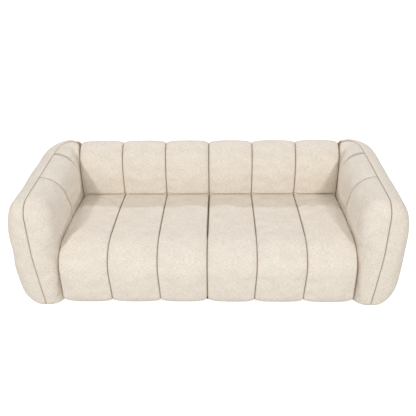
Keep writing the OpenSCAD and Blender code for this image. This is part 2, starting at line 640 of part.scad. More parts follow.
module back_lower_rail() { color(timber) back_rail(tuck_h); }
module back_board() {
    color(board) block([-base_x, post_y + post_d, panel_low], [base_x, post_y + post_d + board_t, back_rail_top]);
}

// Arm frames
arm_rear_y = post_y - 6;
module arm_post(y) {
    block([arm_x, y, base_z], [arm_x + post_w, y + post_d, arm_rail_top - rail_t]);
}
module arm_front_post_right() { color(timber) arm_post(arm_front_y); }
module arm_front_post_left() { color(timber) mirror([1, 0, 0]) arm_post(arm_front_y); }
module arm_rear_post_right() { color(timber) arm_post(arm_rear_y); }
module arm_rear_post_left() { color(timber) mirror([1, 0, 0]) arm_post(arm_rear_y); }
module arm_top_rail() {
    block([arm_x, arm_front_y, arm_rail_top - rail_t], [arm_x + post_w, arm_rear_y + post_d, arm_rail_top]);
}
module arm_top_rail_right() { color(timber) arm_top_rail(); }
module arm_top_rail_left() { color(timber) mirror([1, 0, 0]) arm_top_rail(); }
module arm_bottom_rail() {
    difference() {
        block([arm_x, arm_front_y + post_d, base_z], [arm_x + post_w, arm_rear_y, base_z + post_w]);
        foot_hole(foot_x, foot_front_y);
        foot_hole(foot_x, foot_rear_y);
        for (y = arm_bolt_ys) translate([arm_x - 1, y, bolt_z]) rotate([0, 90, 0]) bolt_hole(arm_bolt_grip + 2);
    }
}
module arm_bottom_rail_right() { color(timber) arm_bottom_rail(); }
module arm_bottom_rail_left() { color(timber) mirror([1, 0, 0]) arm_bottom_rail(); }
module arm_spacer() {
    difference() {
        block([base_x, spacer_y, base_z], [arm_x, arm_rear_y, spacer_top]);
        for (y = arm_bolt_ys) translate([base_x - 1, y, bolt_z]) rotate([0, 90, 0]) bolt_hole(arm_x - base_x + 2);
    }
}
module arm_spacer_right() { color(timber) arm_spacer(); }
module arm_spacer_left() { color(timber) mirror([1, 0, 0]) arm_spacer(); }
module arm_inner_panel() {
    block([arm_x - board_t, arm_front_y, spacer_top + 5], [arm_x, arm_rear_y + post_d, arm_rail_top]);
}
module arm_inner_panel_right() { color(board) arm_inner_panel(); }
module arm_inner_panel_left() { color(board) mirror([1, 0, 0]) arm_inner_panel(); }
module arm_outer_panel() {
    x = arm_x + post_w;
    block([x, arm_front_y, panel_low], [x + board_t, arm_rear_y + post_d, arm_rail_top]);
}
module arm_outer_panel_right() { color(board) arm_outer_panel(); }
module arm_outer_panel_left() { color(board) mirror([1, 0, 0]) arm_outer_panel(); }

// Feet, set back under the frame, and the dust cover that they pass through
foot_taper = 12;
module foot(x, y) {
    color(black) translate([x, y, 0]) difference() {
        cylinder(h = base_z, d1 = foot_d - foot_taper, d2 = foot_d, $fn = 40);
        translate([0, 0, foot_bolt_low]) bolt_hole(base_z);
    }
}
module foot_front_left() { foot(-foot_x, foot_front_y); }
module foot_front_middle() { foot(0, foot_front_y); }
module foot_front_right() { foot(foot_x, foot_front_y); }
module foot_rear_left() { foot(-foot_x, foot_rear_y); }
module foot_rear_middle() { foot(0, foot_rear_y); }
module foot_rear_right() { foot(foot_x, foot_rear_y); }
module foot_bolts() {
    color(steel) for (x = [-foot_x, 0, foot_x], y = [foot_front_y, foot_rear_y])
        translate([x, y, foot_bolt_low + bolt_gap / 2])
            cylinder(h = base_z - foot_bolt_low + foot_bolt_grip - 2, d = bolt_d, $fn = 24);
}
// Follows the bottoms of the covers, a little inside them
module dust_cover() {
    t = 1.4;
    low = floor_gap - 0.3 - t;
    hem_y = seat_front_y + hem_r + 4;
    arm_foot = len(arm_rows) - 1;
    flank_foot = len(flank_rows) - 1;
    turn = [for (i = [2:len(front_ss) - 2]) front_ss[i]];
    edge = concat([[half_w, hem_y]],
        [for (i = [len(turn) - 1:-1:0]) mix(inner_point(turn[i], arm_foot, 0), inner_point(turn[i], arm_foot, 1), 0.3)],
        [for (s = concat(turn, corner_ss)) mix(outer_point(s, flank_foot, 0), outer_point(s, flank_foot, 1), 0.3)]);
    outline = concat([for (p = edge) [p[0], p[1]]], [for (i = [len(edge) - 1:-1:0]) [-edge[i][0], edge[i][1]]]);
    color(black) difference() {
        translate([0, 0, low]) linear_extrude(t) polygon(outline);
        for (x = [-foot_x, 0, foot_x], y = [foot_front_y, foot_rear_y])
            translate([x, y, 0]) cylinder(h = base_z, d = foot_d + 2 * soft_gap, $fn = 40);
    }
}

// Bolts with hexagon heads that join the arms and the back posts to the base
module frame_bolt(length) {
    rotate([0, 90, 0]) {
        cylinder(h = length, d = bolt_d, $fn = 24);
        translate([0, 0, -bolt_head_h]) cylinder(h = bolt_head_h, d = 2 * bolt_d, $fn = 6);
    }
}
module arm_bolts() {
    color(steel) for (side = [0, 1], y = arm_bolt_ys) mirror([side, 0, 0])
        translate([base_x - rail_t, y, bolt_z]) frame_bolt(arm_x - base_x + rail_t + arm_bolt_grip);
}
module back_bolts() {
    color(steel) for (z = back_bolt_zs) {
        for (side = [0, 1]) mirror([side, 0, 0])
            translate([back_post_x, back_bolt_y, z]) frame_bolt(post_w + post_bolt_grip);
        translate([0, post_y + post_d - bolt_head_h - 0.5, z]) rotate([0, 0, -90])
            frame_bolt(post_d - bolt_head_h + arm_bolt_grip - 1);
    }
}

seat_cover_left();
seat_cover_right();
back_cover_left();
back_cover_right();
corner_cover_left();
corner_cover_right();
arm_inner_cover_left();
arm_inner_cover_right();
arm_outer_cover_left();
arm_outer_cover_right();
back_outer_cover();
dust_cover();
seat_foam_left();
seat_foam_right();
back_foam_left();
back_foam_right();
arm_foam_left();
arm_foam_right();
seat_springs_left();
seat_springs_right();
spring_clips();
back_webbing();
base_front_rail();
base_end_rail_left();
base_end_rail_right();
base_centre_rail();
spring_rail_left();
spring_rail_right();
corner_blocks();
back_post_left();
back_post_centre();
back_post_right();
back_top_rail();
back_lower_rail();
back_board();
arm_front_post_left();
arm_front_post_right();
arm_rear_post_left();
arm_rear_post_right();
arm_top_rail_left();
arm_top_rail_right();
arm_bottom_rail_left();
arm_bottom_rail_right();
arm_spacer_left();
arm_spacer_right();
arm_inner_panel_left();
arm_inner_panel_right();
arm_outer_panel_left();
arm_outer_panel_right();
foot_front_left();
foot_front_middle();
foot_front_right();
foot_rear_left();
foot_rear_middle();
foot_rear_right();
foot_bolts();
arm_bolts();
back_bolts();
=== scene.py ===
import math
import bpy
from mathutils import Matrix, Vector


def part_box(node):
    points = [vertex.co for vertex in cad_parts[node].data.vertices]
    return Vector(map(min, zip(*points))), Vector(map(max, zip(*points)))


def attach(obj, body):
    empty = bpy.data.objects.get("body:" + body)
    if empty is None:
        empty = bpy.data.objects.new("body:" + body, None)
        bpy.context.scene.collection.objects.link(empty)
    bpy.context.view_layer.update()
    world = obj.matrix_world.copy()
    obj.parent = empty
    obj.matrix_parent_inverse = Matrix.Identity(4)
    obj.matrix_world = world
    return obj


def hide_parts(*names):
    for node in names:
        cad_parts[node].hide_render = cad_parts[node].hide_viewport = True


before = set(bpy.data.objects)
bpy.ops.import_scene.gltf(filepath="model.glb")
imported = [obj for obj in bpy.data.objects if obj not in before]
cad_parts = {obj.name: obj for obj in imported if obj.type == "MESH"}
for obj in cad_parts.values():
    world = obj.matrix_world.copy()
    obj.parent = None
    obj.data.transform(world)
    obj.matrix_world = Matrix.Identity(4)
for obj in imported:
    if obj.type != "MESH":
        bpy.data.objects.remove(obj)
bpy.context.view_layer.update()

from types import SimpleNamespace

import bmesh
import bpy
import numpy as np
from mathutils import Matrix, Vector

bl_info = {
    "name": "Channel-tufted tuxedo sofa",
    "version": (1, 0, 0),
    "blender": (4, 5, 0),
    "location": "3D View > Sidebar > Sofa",
    "description": "Covers, seams and finishes for a channel-tufted three-seat tuxedo sofa",
    "category": "Object",
}

MM = 0.001
SEAT_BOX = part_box("seat_cover_right")
ARM_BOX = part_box("arm_outer_cover_right")
INNER_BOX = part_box("arm_inner_cover_right")
BACK_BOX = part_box("back_cover_right")
SIDES = (("right", 1), ("left", -1))
# In millimetres: rows close together beside a crest seam, how near a point on a seam lies, and the
# width beside a sewn edge over which the cloth is let go
NEAR_SEAM = (0, 1.5, 3.5, 6.5)
ON_SEAM = 0.5
LET_GO = 14


def linear(hex_colour):
    """An sRGB hex value as linear red, green, blue and alpha."""
    parts = [int(hex_colour[i:i + 2], 16) / 255 for i in (1, 3, 5)]
    return tuple(c / 12.92 if c <= 0.04045 else ((c + 0.055) / 1.055) ** 2.4 for c in parts) + (1.0,)


# Sizes and colours that a user would change
def colour_prop(name, words, value):
    return bpy.props.FloatVectorProperty(name=name, description=words, subtype="COLOR", size=4, min=0, max=1,
                                         default=linear(value))


def length_prop(name, words, value, low, high):
    return bpy.props.FloatProperty(name=name, description=words, default=value, min=low, max=high,
                                   subtype="DISTANCE", unit="LENGTH", precision=4)


class SofaSizes(bpy.types.PropertyGroup):
    """Sizes of the covers that a user would change, in metres."""
    crown: length_prop("Channel crown", "How far a channel swells beyond its seams", 0.025, 0.015, 0.03)
    crest_crown: length_prop("Crest crown", "How far a back channel swells along the crest", 0.031, 0.02, 0.036)
    arm_crown: length_prop("Arm crown", "How far the arm channels swell beyond their seams", 0.02, 0.01, 0.024)
    seam_w: length_prop("Crest seam width", "Width of the hollow that the crest seam pulls in", 0.016, 0.008, 0.03)
    fold: length_prop("Fold depth", "How deep the cloth folds into a plain seam", 0.007, 0.002, 0.014)
    pucker: length_prop("Pucker depth", "Depth of the small gathers beside the seams", 0.0012, 0, 0.004)
    softness: length_prop("Unevenness", "How uneven the stuffing is over a channel", 0.0025, 0, 0.006)
    slack: length_prop("Slack", "How far loose cloth may swell and settle over the stuffing", 0.005, 0, 0.02)
    stitch: length_prop("Stitch length", "Length of one stitch of the seams", 0.0045, 0.003, 0.008)
    thread: length_prop("Thread", "Thickness of the sewing thread", 0.0009, 0.0004, 0.002)
    yarn: length_prop("Yarn", "Width of one yarn of the cloth", 0.0022, 0.001, 0.006)


class SofaColours(bpy.types.PropertyGroup):
    """Colours of the cloth and of the pieces under it."""
    cloth: colour_prop("Cloth", "Main colour of the cream cloth", "#e6dccf")
    light_yarn: colour_prop("Light yarns", "Colour of the lightest yarns", "#f1ebe0")
    dark_yarn: colour_prop("Dark yarns", "Colour of the darkest yarns", "#c9bda9")
    # Painted shade: a darker, browner tint for the cloth down in the seams, standing in for the shade in the creases
    fold: colour_prop("Fold", "Tint of the crushed cloth down in a seam", "#b9a997")
    thread: colour_prop("Thread", "Colour of the sewing thread", "#9c8b74")
    timber: colour_prop("Timber", "Colour of the softwood frame", "#cfa873")
    foam: colour_prop("Foam", "Colour of the seat and back foam", "#f0e3ab")
    floor: colour_prop("Floor", "Colour of the floor", "#dbdbda")


# The shapes of the covers, in millimetres. Overall sizes come from the CAD solids; a cover follows its
# solid and adds what the cloth does over the stuffing.
def plan():
    """Lengths that the covers share. A pad is a cover's thickness, a crown its swell and a crease its
    depth at a seam; an n is the power of a superellipse, which is squarer the larger it is."""
    s = bpy.context.scene.sofa_sizes
    p = SimpleNamespace(gap=0.4, channels=3, dip=6.0, pinch=5.0, pinch_w=30.0)
    for name in ("crown", "crest_crown", "arm_crown", "seam_w", "fold", "pucker", "softness", "slack"):
        setattr(p, name, getattr(s, name) / MM)
    p.half_w = SEAT_BOX[1].x / MM + p.gap
    p.front_y = ARM_BOX[0].y / MM
    p.back_y = ARM_BOX[1].y / MM
    p.top_h = 722.0
    p.floor_gap = 16.0
    p.crest_x = INNER_BOX[1].x / MM + p.gap
    p.crest_y = BACK_BOX[1].y / MM + p.gap
    p.arm_in = p.crest_x - p.half_w
    p.arm_out = ARM_BOX[1].x / MM - p.crest_x
    p.back_out = p.back_y - p.crest_y
    p.back_reach = 110.0
    p.seat_front_y = p.front_y + 30
    p.face_y = p.crest_y - p.back_reach
    p.back_tuck = 12.0
    p.face_tuck = 8.0
    p.seat_rear_y = p.face_y + p.back_tuck
    p.seat_h = 406.0
    p.groove_h = p.seat_h - 25
    p.seat_fall = 36.0
    p.seat_meet_z = p.groove_h - p.seat_fall + 14
    p.roll_run, p.roll_drop, p.roll_n = 210.0, 180.0, 2.5
    p.hem_r, p.hem_z, p.hem_n = 34.0, p.floor_gap + 0.85 * 25 + 0.5, 3.0
    p.draw_in, p.draw_top_z, p.draw_fall = 10.0, 300.0, 260.0
    p.notch, p.deep_notch, p.notch_w, p.notch_h, p.notch_fade = 5.0, 10.0, 55.0, 75.0, 70.0
    p.ridge_z = p.top_h - 33
    p.tuck_h = 224.0
    p.ab_y, p.ab_lean = p.front_y + 355, 120.0
    p.bc_y, p.bc_lean = p.face_y - 112, 30.0
    p.shoulder_drop = 152.0
    p.shoulder_z = p.top_h - p.shoulder_drop
    p.crest_in, p.crest_in_z = 34.0, 400.0
    p.rise_z = 480.0
    p.lumbar_z = 490.0
    p.flank_w, p.flank_z, p.flank_low_z = 120.0, 318.0, p.floor_gap - 8
    p.front_r, p.toe_r, p.toe_z = 100.0, 40.0, p.floor_gap + 24
    p.seat_pad, p.back_pad, p.arm_pad, p.outer_pad = 45.0, 54.0, 50.0, 20.0
    p.front_pad, p.crest_pad, p.ridge_pad, p.flank_pad = 36.0, 28.0, 34.0, 45.0
    p.back_crease, p.corner_crown, p.arm_crease, p.middle_crease = 10.0, 11.0, 20.0, 9.0
    p.arm_n, p.back_n, p.flank_n, p.crest_n, p.plan_n, p.seam_front_n = 2.2, 1.8, 3.0, 5.5, 2.9, 2.8
    # How far from its seam with the arm and with the back a corner channel stays below its full swell
    p.arm_end_w, p.back_end_w = 42.0, 80.0
    # Widths beside a seam: of the fold, of the gathers, and over which stuffing and settling grow
    p.fold_w, p.gather_near, p.gather_far, p.soft_w, p.settle_w = 5.0, 9.0, 32.0, 90.0, 40.0
    p.gather_pitch, p.gather_gain, p.soft_lengths = 46.0, 2.2, (170, 420)
    return p


def ease(x):
    w = np.clip(x, 0, 1)
    return w * w * (3 - 2 * w)


def mix(a, b, w):
    return a + (b - a) * w


def swell(u, n=3.0):
    """Fullness of a channel across its width: 0 at its seams, 1 in the middle."""
    return np.clip(1 - np.abs(2 * u - 1) ** n, 0, 1) ** (1 / n)


def pull(d, width, n=3.0):
    """How far a seam pulls the cloth in at a distance from it: 1 at the seam, 0 beyond the width."""
    return 1 - (1 - np.clip(1 - np.abs(d) / width, 0, 1) ** n) ** (1 / n)


def bow_out(t, n):
    return np.clip(np.cos(np.radians(t)), 0, 1) ** (2 / n)


def bow_up(t, n):
    return np.abs(np.sin(np.radians(t))) ** (2 / n)


def bow_lean(t, n, a, b):
    """Outward direction on a superellipse, across and up."""
    x = np.clip(np.cos(np.radians(t)), 0, 1) ** (2 - 2 / n) / a
    z = np.abs(np.sin(np.radians(t))) ** (2 - 2 / n) / b
    size = np.hypot(x, z)
    return x / size, z / size


def crowded(n):
    """Steps from 0 to 1 that crowd together at the ends, where the seams are."""
    return 0.5 - 0.5 * np.cos(np.pi * np.linspace(0, 1, n + 1))


def channel_steps(channels, n):
    """Places across several channels, as (place from 0 to 1, channel, share of the channel)."""
    u = crowded(n)
    places = [(0, 0.0)] + [(i, w) for i in range(channels) for w in u[1:]]
    channel = np.array([q[0] for q in places])
    share = np.array([q[1] for q in places])
    return (channel + share) / channels, channel, share


def even(line, step):
    """The same line through points an even step apart."""
    line = np.array(line, dtype=float)
    at = np.concatenate([[0], np.cumsum(np.linalg.norm(np.diff(line, axis=0), axis=1))])
    places = np.linspace(0, at[-1], max(2, round(at[-1] / step)) + 1)
    return np.stack([np.interp(places, at, line[:, k]) for k in range(line.shape[1])], axis=1)


def normals_of(grid):
    """Unit normals of a grid of points, by its rows and columns."""
    n = np.cross(np.gradient(grid, axis=0), np.gradient(grid, axis=1))
    return n / np.maximum(np.linalg.norm(n, axis=2, keepdims=True), 1e-9)


def waves(grid, seed, lengths, count=6):
    """Smooth uneven field over the points, between about -1 and 1, from a fixed seed."""
    rng = np.random.default_rng(seed)
    total = np.zeros(grid.shape[:2])
    for _ in range(count):
        axis = rng.normal(size=3)
        k = axis / np.linalg.norm(axis) * 2 * np.pi / rng.uniform(*lengths)
        total += np.sin(grid @ k + rng.uniform(0, 2 * np.pi))
    return total / count ** 0.5


def gathers(along, seed, pitch):
    """Uneven row of small gathers along a seam, from 0 to 1; along is the distance down it."""
    rng = np.random.default_rng(seed)
    drift = sum(rng.uniform(0.3, 1) * np.sin(along / rng.uniform(60, 180) + rng.uniform(0, 6)) for _ in range(4))
    strength = 0.55 + 0.45 * np.sin(along / rng.uniform(70, 130) + rng.uniform(0, 6))
    return strength * (0.5 + 0.5 * np.sin(2 * np.pi * along / pitch + 1.6 * drift))


def facing(grid, way):
    """1 where the rows and columns turn the normals out towards a direction, and -1 where they turn in."""
    return 1 if np.mean(normals_of(grid) @ np.array(way, dtype=float)) > 0 else -1


def dress(p, cover, grid):
    """Adds what cloth does over stuffing: uneven fullness, and small gathers beside the seams."""
    along = np.cumsum(np.linalg.norm(np.diff(grid, axis=0, prepend=grid[:1]), axis=2), axis=0)
    soft = waves(grid, cover.seed, p.soft_lengths) * ease(cover.seam_d / p.soft_w) * p.softness
    small = -gathers(along, cover.seed + 1, p.gather_pitch) * np.clip(cover.seam_d / p.gather_near, 0, 1)
    small = small * np.exp(-cover.seam_d / p.gather_far) * p.gather_gain * p.pucker
    return grid + normals_of(grid) * facing(grid, cover.way) * ((soft + small) * cover.free)[..., None]


def profile_normals(line, ends):
    """Outward unit normals of a line of points (y, z); ends gives those of its first or last point."""
    d = np.gradient(line, axis=0)
    n = np.stack([d[:, 1], -d[:, 0]], axis=1)
    for place, way in ends.items():
        n[place] = way
    return n / np.linalg.norm(n, axis=1, keepdims=True)


# Each cover has a function that returns
#   show and lining: grids of points of its outer and inner side, whose edges finish_cover joins
#   seam_d: distance of each point from the nearest seam
#   sewn: where a row of stitches runs
#   free: 0 where the cloth is held and 1 where it may move
#   loose: share of the slack that the cloth may take
#   way: a direction that the outer side faces
#   across: the direction across the nearest seam
#   deep: how deep the cloth folds into that seam, 1 being the fold depth that the user sets, and how dark the
#       painted seam shade is
def seat_cover_grid(p):
    """Seat cover: from the rear over the front roll to the hem."""
    turn_y = p.seat_front_y + p.roll_run
    top = [(mix(p.seat_rear_y, turn_y, w), p.groove_h - p.seat_fall * (1 - w) ** 1.5) for w in np.linspace(0, 1, 60)]
    over = [(turn_y - p.roll_run * bow_out(t, p.roll_n), p.groove_h - p.roll_drop * (1 - bow_up(t, p.roll_n)))
            for t in np.linspace(90, 0, 60)]
    hem = [(p.seat_front_y + p.hem_r * (1 - bow_out(a, p.hem_n)), p.hem_z + p.hem_r * (1 - bow_up(a, p.hem_n)))
           for a in np.linspace(0, 90, 24)]
    line = even(top + over[1:] + hem, 9.5)
    n = profile_normals(line, {0: (0, 1), -1: (0, -1)})
    y, z = line[:, :1], line[:, 1:]
    # The channels swell less towards the rear and just above the hem
    low = ease((z - p.floor_gap) / 110)
    puff = p.crown * mix(0.65, 1, ease((p.seat_rear_y - y) / 260)) * mix(0.85, 1, low)
    at, channel, u = channel_steps(p.channels, 30)
    drop = mix(np.where(channel == 0, p.middle_crease, 0),
               np.where(channel == p.channels - 1, p.arm_crease * mix(0.45, 1, low), 0), u)
    w = (puff + drop) * swell(u) - drop
    # Low on the front the seams draw in towards the middle
    drawn = p.draw_in * ease(at / 0.4) * ease((1 - at) / 0.25) * ease((p.draw_top_z - z) / p.draw_fall)
    x = mix(p.gap, p.half_w - p.gap, at) - drawn + 0 * w
    edge = np.minimum(u, 1 - u) * p.half_w / p.channels
    by_middle = (channel == 0) & (u < 0.5)
    by_arm = (channel == p.channels - 1) & (u > 0.5)
    notch = np.where(by_middle | by_arm, p.deep_notch, p.notch) * pull(edge, p.notch_w, 2)
    notch = notch * ease((p.hem_z + p.notch_h - z) / p.notch_fade)
    show = np.stack([x, y + n[:, :1] * w, z + n[:, 1:] * w + notch], axis=2)
    seam_d = edge + 0 * w
    free = ease((p.seat_rear_y - 70 - y) / 60) * ease((z - 30) / 60) + 0 * w
    hung = z[:, 0] < p.hem_z + p.hem_r
    inner_y = np.where(hung, p.seat_front_y + p.seat_pad, line[:, 0] - n[:, 0] * p.seat_pad)
    low_z = np.interp(np.arange(len(line)), [np.argmax(hung), len(line) - 1],
                      [p.hem_z + p.hem_r, p.hem_z + p.hem_r / 2])
    inner_z = np.where(hung, low_z, line[:, 1] - n[:, 1] * p.seat_pad)
    lining = np.stack([x, inner_y[:, None] + 0 * w, inner_z[:, None] + 0 * w], axis=2)
    deck = ease((y - turn_y + 60) / 80)
    deep = mix(0.75, 1.3, deck) + 2.1 * deck * by_middle
    return SimpleNamespace(show=show, lining=lining, seam_d=seam_d, free=free, way=(0, -0.7, 0.7),
                           across=(1, 0, 0), sewn=seam_d < ON_SEAM, deep=deep, loose=1.0)


def face_at(p, z):
    """Front of the back's seams at a height; they draw back a little down behind the seat."""
    return p.face_y + p.face_tuck * np.clip((p.lumbar_z - z) / (p.lumbar_z - p.seat_meet_z), 0, 1) ** 1.3


def back_drop(p, channel, u):
    """How deep the back's seams lie: shallow in the middle and deeper beside the corner."""
    middle = np.where(channel == 0, p.middle_crease / 3, 0)
    return mix(middle, np.where(channel == p.channels - 1, p.back_crease, 0), u)


def back_cover_grid(p):
    """Back cover: from the crest seam over the face and down behind the seat."""
    ts = np.linspace(90, 0, 70)
    zs = np.linspace(p.lumbar_z, p.seat_meet_z, 20)[1:]
    seen = even([(p.crest_y - p.back_reach * bow_out(t, p.back_n), mix(p.lumbar_z, p.ridge_z, bow_up(t, p.back_n)))
                 for t in ts] + [(face_at(p, z), z) for z in zs], 8.5)
    hidden = even([(p.seat_rear_y, p.seat_meet_z), (p.seat_rear_y + p.gap, p.tuck_h)], 40)
    line = np.concatenate([seen, hidden[1:]])
    last = len(seen) - 1
    n = profile_normals(line, {0: (0, 1)})
    y, z = line[:, :1], line[:, 1:]
    at, channel, u = channel_steps(p.channels, 30)
    puff = mix(p.crown, p.crest_crown, ease((z - p.lumbar_z) / (p.ridge_z - p.lumbar_z)))
    # The swell ends just below the line where the seat meets the back
    puff = puff * ease((z - p.seat_meet_z + 16) / 20)
    drop = back_drop(p, channel, u)
    rows = np.arange(len(line))[:, None]
    fade = ease((last - rows) / 2)
    w = ((puff + drop) * swell(u) - drop) * fade
    x = mix(p.gap, p.half_w - p.gap, at) + 0 * w
    show = np.stack([x, np.minimum(y + n[:, :1] * w, p.crest_y - p.gap), z + n[:, 1:] * w], axis=2)
    seam_d = np.minimum(u, 1 - u) * p.half_w / p.channels + 0 * w
    free = ease(rows / 8) * ease((z - p.seat_meet_z - 10) / 40) + 0 * w
    t = np.interp(line[:, 1], [mix(p.lumbar_z, p.ridge_z, bow_up(q, p.back_n)) for q in ts[::-1]], ts[::-1])
    over = line[:, 1] > p.lumbar_z
    inner_y = np.where(over, p.crest_y - (p.back_reach - p.back_pad) * bow_out(t, p.back_n), p.face_y + p.back_pad)
    inner_z = np.where(over, mix(p.lumbar_z, p.ridge_z - p.ridge_pad, bow_up(t, p.back_n)), line[:, 1])
    lining = np.stack([x, np.minimum(inner_y, p.crest_y - p.gap)[:, None] + 0 * w, inner_z[:, None] + 0 * w], axis=2)
    return SimpleNamespace(show=show, lining=lining, seam_d=seam_d, free=free, way=(0, -0.8, 0.6),
                           across=(1, 0, 0), sewn=(seam_d < ON_SEAM) & (rows < last - 4),
                           deep=0.75 + 0 * seam_d, loose=0.8)


# Along an arm, s runs 0 to 1 round the arm front, to 2 at the seam across the arm, to 3 at the corner
# seam and to 4 round the corner to the back. Down a cover, t runs from 90 at the crest seam to 0 where
# the side is upright, and low from 0 to 1 from there down.
def arm_round(s, n):
    """Turn of an arm cover from the front of the arm, 0, to its side, 1."""
    return np.where(s < 1, np.sin(np.pi / 2 * np.clip(s, 0, 1)) ** (2 / n), 1)


def front_curve(p, s, pad):
    """Where the arm front lies, from front to rear, as it rounds into the side."""
    return p.front_y + pad + (p.front_r - pad) * (1 - np.cos(np.pi / 2 * np.clip(s, 0, 1)).clip(0) ** (2 / p.arm_n))


def front_tuck(p, z, s):
    """How the arm front rounds back under, just above the floor."""
    w = np.clip(p.toe_z - z, 0, p.toe_r)
    return np.where(s < 1, (p.toe_r - np.sqrt(p.toe_r ** 2 - w * w)) * (1 - s), 0)


def crest_at(p, z):
    """How far from the middle of the sofa the long seam of an arm lies; it leans inwards low down."""
    return p.crest_x - p.crest_in * np.clip(1 - z / p.crest_in_z, 0, None) ** 1.2


def arm_rise(p, z, s):
    """Height on the arm, lowered towards its rounded front."""
    top = p.top_h - p.front_r * (1 - arm_round(s, p.arm_n))
    return np.where(z > p.rise_z, p.rise_z + (z - p.rise_z) * (top - p.rise_z) / (p.top_h - p.rise_z), z)


def seam_ab(p, z):
    """Seam across the arm, which leans back on its way down to the seat."""
    return p.ab_y + p.ab_lean * ease((p.top_h - z) / (p.top_h - p.groove_h)) ** 1.2


def seam_bc(p, z):
    """Seam between an arm and the corner, which leans back too."""
    return p.bc_y + p.bc_lean * ease((p.top_h - z) / (1.1 * p.shoulder_drop))


def inner_swell(s):
    """Fullness of an arm's channels along it; the front one stays full round the arm front."""
    return np.where(s <= 1.5, 1, np.where(s <= 2, swell(s - 1), swell(s - 2)))


def above_seat(p, z):
    """0 up to the seat, where a channel's swell has ended, and 1 from a little above it."""
    return ease((z - p.seat_h) / 60)


def crest_rise(t):
    """A channel's swell over the crest: none at the crest seam and full where the side is upright."""
    return np.interp(90 - t, [0, 4, 18, 32, 46, 60, 90], [0, .3, .45, .7, .9, 1, 1])


def crest_dips(p, s, d):
    """How the crest seam pulls the cloth in near it: back at the arm front and down along the top."""
    turn = arm_round(s, p.arm_n)
    near = p.dip * pull(d, p.seam_w)
    return near * np.sqrt(np.clip(1 - turn ** 2, 0, 1)), near * turn


def rows_down(p, step, low_rows):
    """Rows of the inner covers as angles t and shares low."""
    t = np.linspace(90, 0, 200)
    line = np.stack([p.arm_in * bow_out(t, p.arm_n), p.shoulder_drop * bow_up(t, p.arm_n), t], axis=1)
    at = np.concatenate([[0], np.cumsum(np.hypot(*np.diff(line[:, :2], axis=0).T))])
    ts = np.interp(np.concatenate([NEAR_SEAM, np.linspace(11, at[-1], round(at[-1] / step))]), at, t)
    low = np.linspace(0, 1, low_rows + 1)[1:]
    return np.concatenate([ts, 0 * low])[:, None], np.concatenate([0 * ts, low])[:, None]


def inner_points(p, s, t, low, deep):
    """Points of an inner arm cover; deep is 1 on its lining."""
    rise = p.top_h - p.crest_pad * deep - p.shoulder_z
    foot = mix(p.floor_gap, p.tuck_h, np.clip((s - 1) / 0.25, 0, 1))
    side_x = p.half_w + p.gap + p.arm_pad * deep
    zs = np.where(low > 0, mix(p.shoulder_z, foot, low), p.shoulder_z + rise * bow_up(t, p.arm_n))
    z = arm_rise(p, zs, s)
    cx = crest_at(p, z) - p.gap
    g = np.minimum(1, 2 * s) if deep else arm_round(s, p.arm_n)
    fade = np.where(low > 0, above_seat(p, z), crest_rise(t))
    puff = 0 if deep else p.arm_crown * inner_swell(s) * fade * g
    lean_x, lean_z = bow_lean(t, p.arm_n, p.arm_in, rise)
    out = (cx - side_x) * bow_out(t, p.arm_n) * g
    square = p.front_y + p.front_pad + (p.front_r - p.front_pad) * np.clip(2 * s - 1, 0, 1)
    first = square if deep else front_curve(p, s, 0) + front_tuck(p, z, s)
    y = np.where(s < 1, first, np.where(s < 2, mix(p.front_y + p.front_r, seam_ab(p, z), s - 1),
                                        mix(seam_ab(p, z), seam_bc(p, z) - p.gap, s - 2)))
    if not deep:
        back, down = crest_dips(p, s, out)
        y = y + back
        z = z - down - np.where(s > 1, p.pinch * (1 - inner_swell(s)), 0) * pull(out, p.pinch_w)
    x = cx - out - puff * lean_x
    return np.stack(np.broadcast_arrays(x, y, z + puff * lean_z), axis=2), out


def arm_steps():
    """Columns along an arm cover, close together at its seams."""
    front = crowded(28)[:-1]
    middle = 1 + np.sin(np.pi / 2 * np.linspace(0, 1, 27))[:-1]
    return np.concatenate([front, middle, 2 + crowded(34)])[None, :]


def arm_inner_grid(p):
    """Inner arm cover: from the crest seam over the arm and down beside the seat, round the arm front."""
    s = arm_steps()
    t, low = rows_down(p, 7.5, 46)
    show, out = inner_points(p, s, t, low, 0)
    lining, _ = inner_points(p, s, t, low, 1)
    z = show[..., 2]
    front_w, rear_w = seam_ab(p, z) - p.front_y - p.front_r, seam_bc(p, z) - seam_ab(p, z)
    along = np.where(s < 2, front_w * np.abs(2 - s), rear_w * np.minimum(s - 2, 3 - s))
    seam_d = np.minimum(along, np.abs(out))
    across = np.where((along < np.abs(out))[..., None], (0, 1, 0), (1, 0, 0))
    inside = np.clip((s - 0.6) / 0.4, 0, 1)
    rest = mix(ease((z - 20) / 50), ease((z - p.seat_h + 10) / 60), inside)
    # One step of s there is about 400 mm of cloth
    free = rest * ease(np.abs(out) / LET_GO) * ease((3 - s) * 400 / LET_GO)
    return SimpleNamespace(show=show, lining=lining, seam_d=seam_d, free=free, way=(-0.6, -0.2, 0.7),
                           across=across, sewn=seam_d < ON_SEAM,
                           deep=np.where(along < np.abs(out), 1.6, 0.6), loose=0.8)


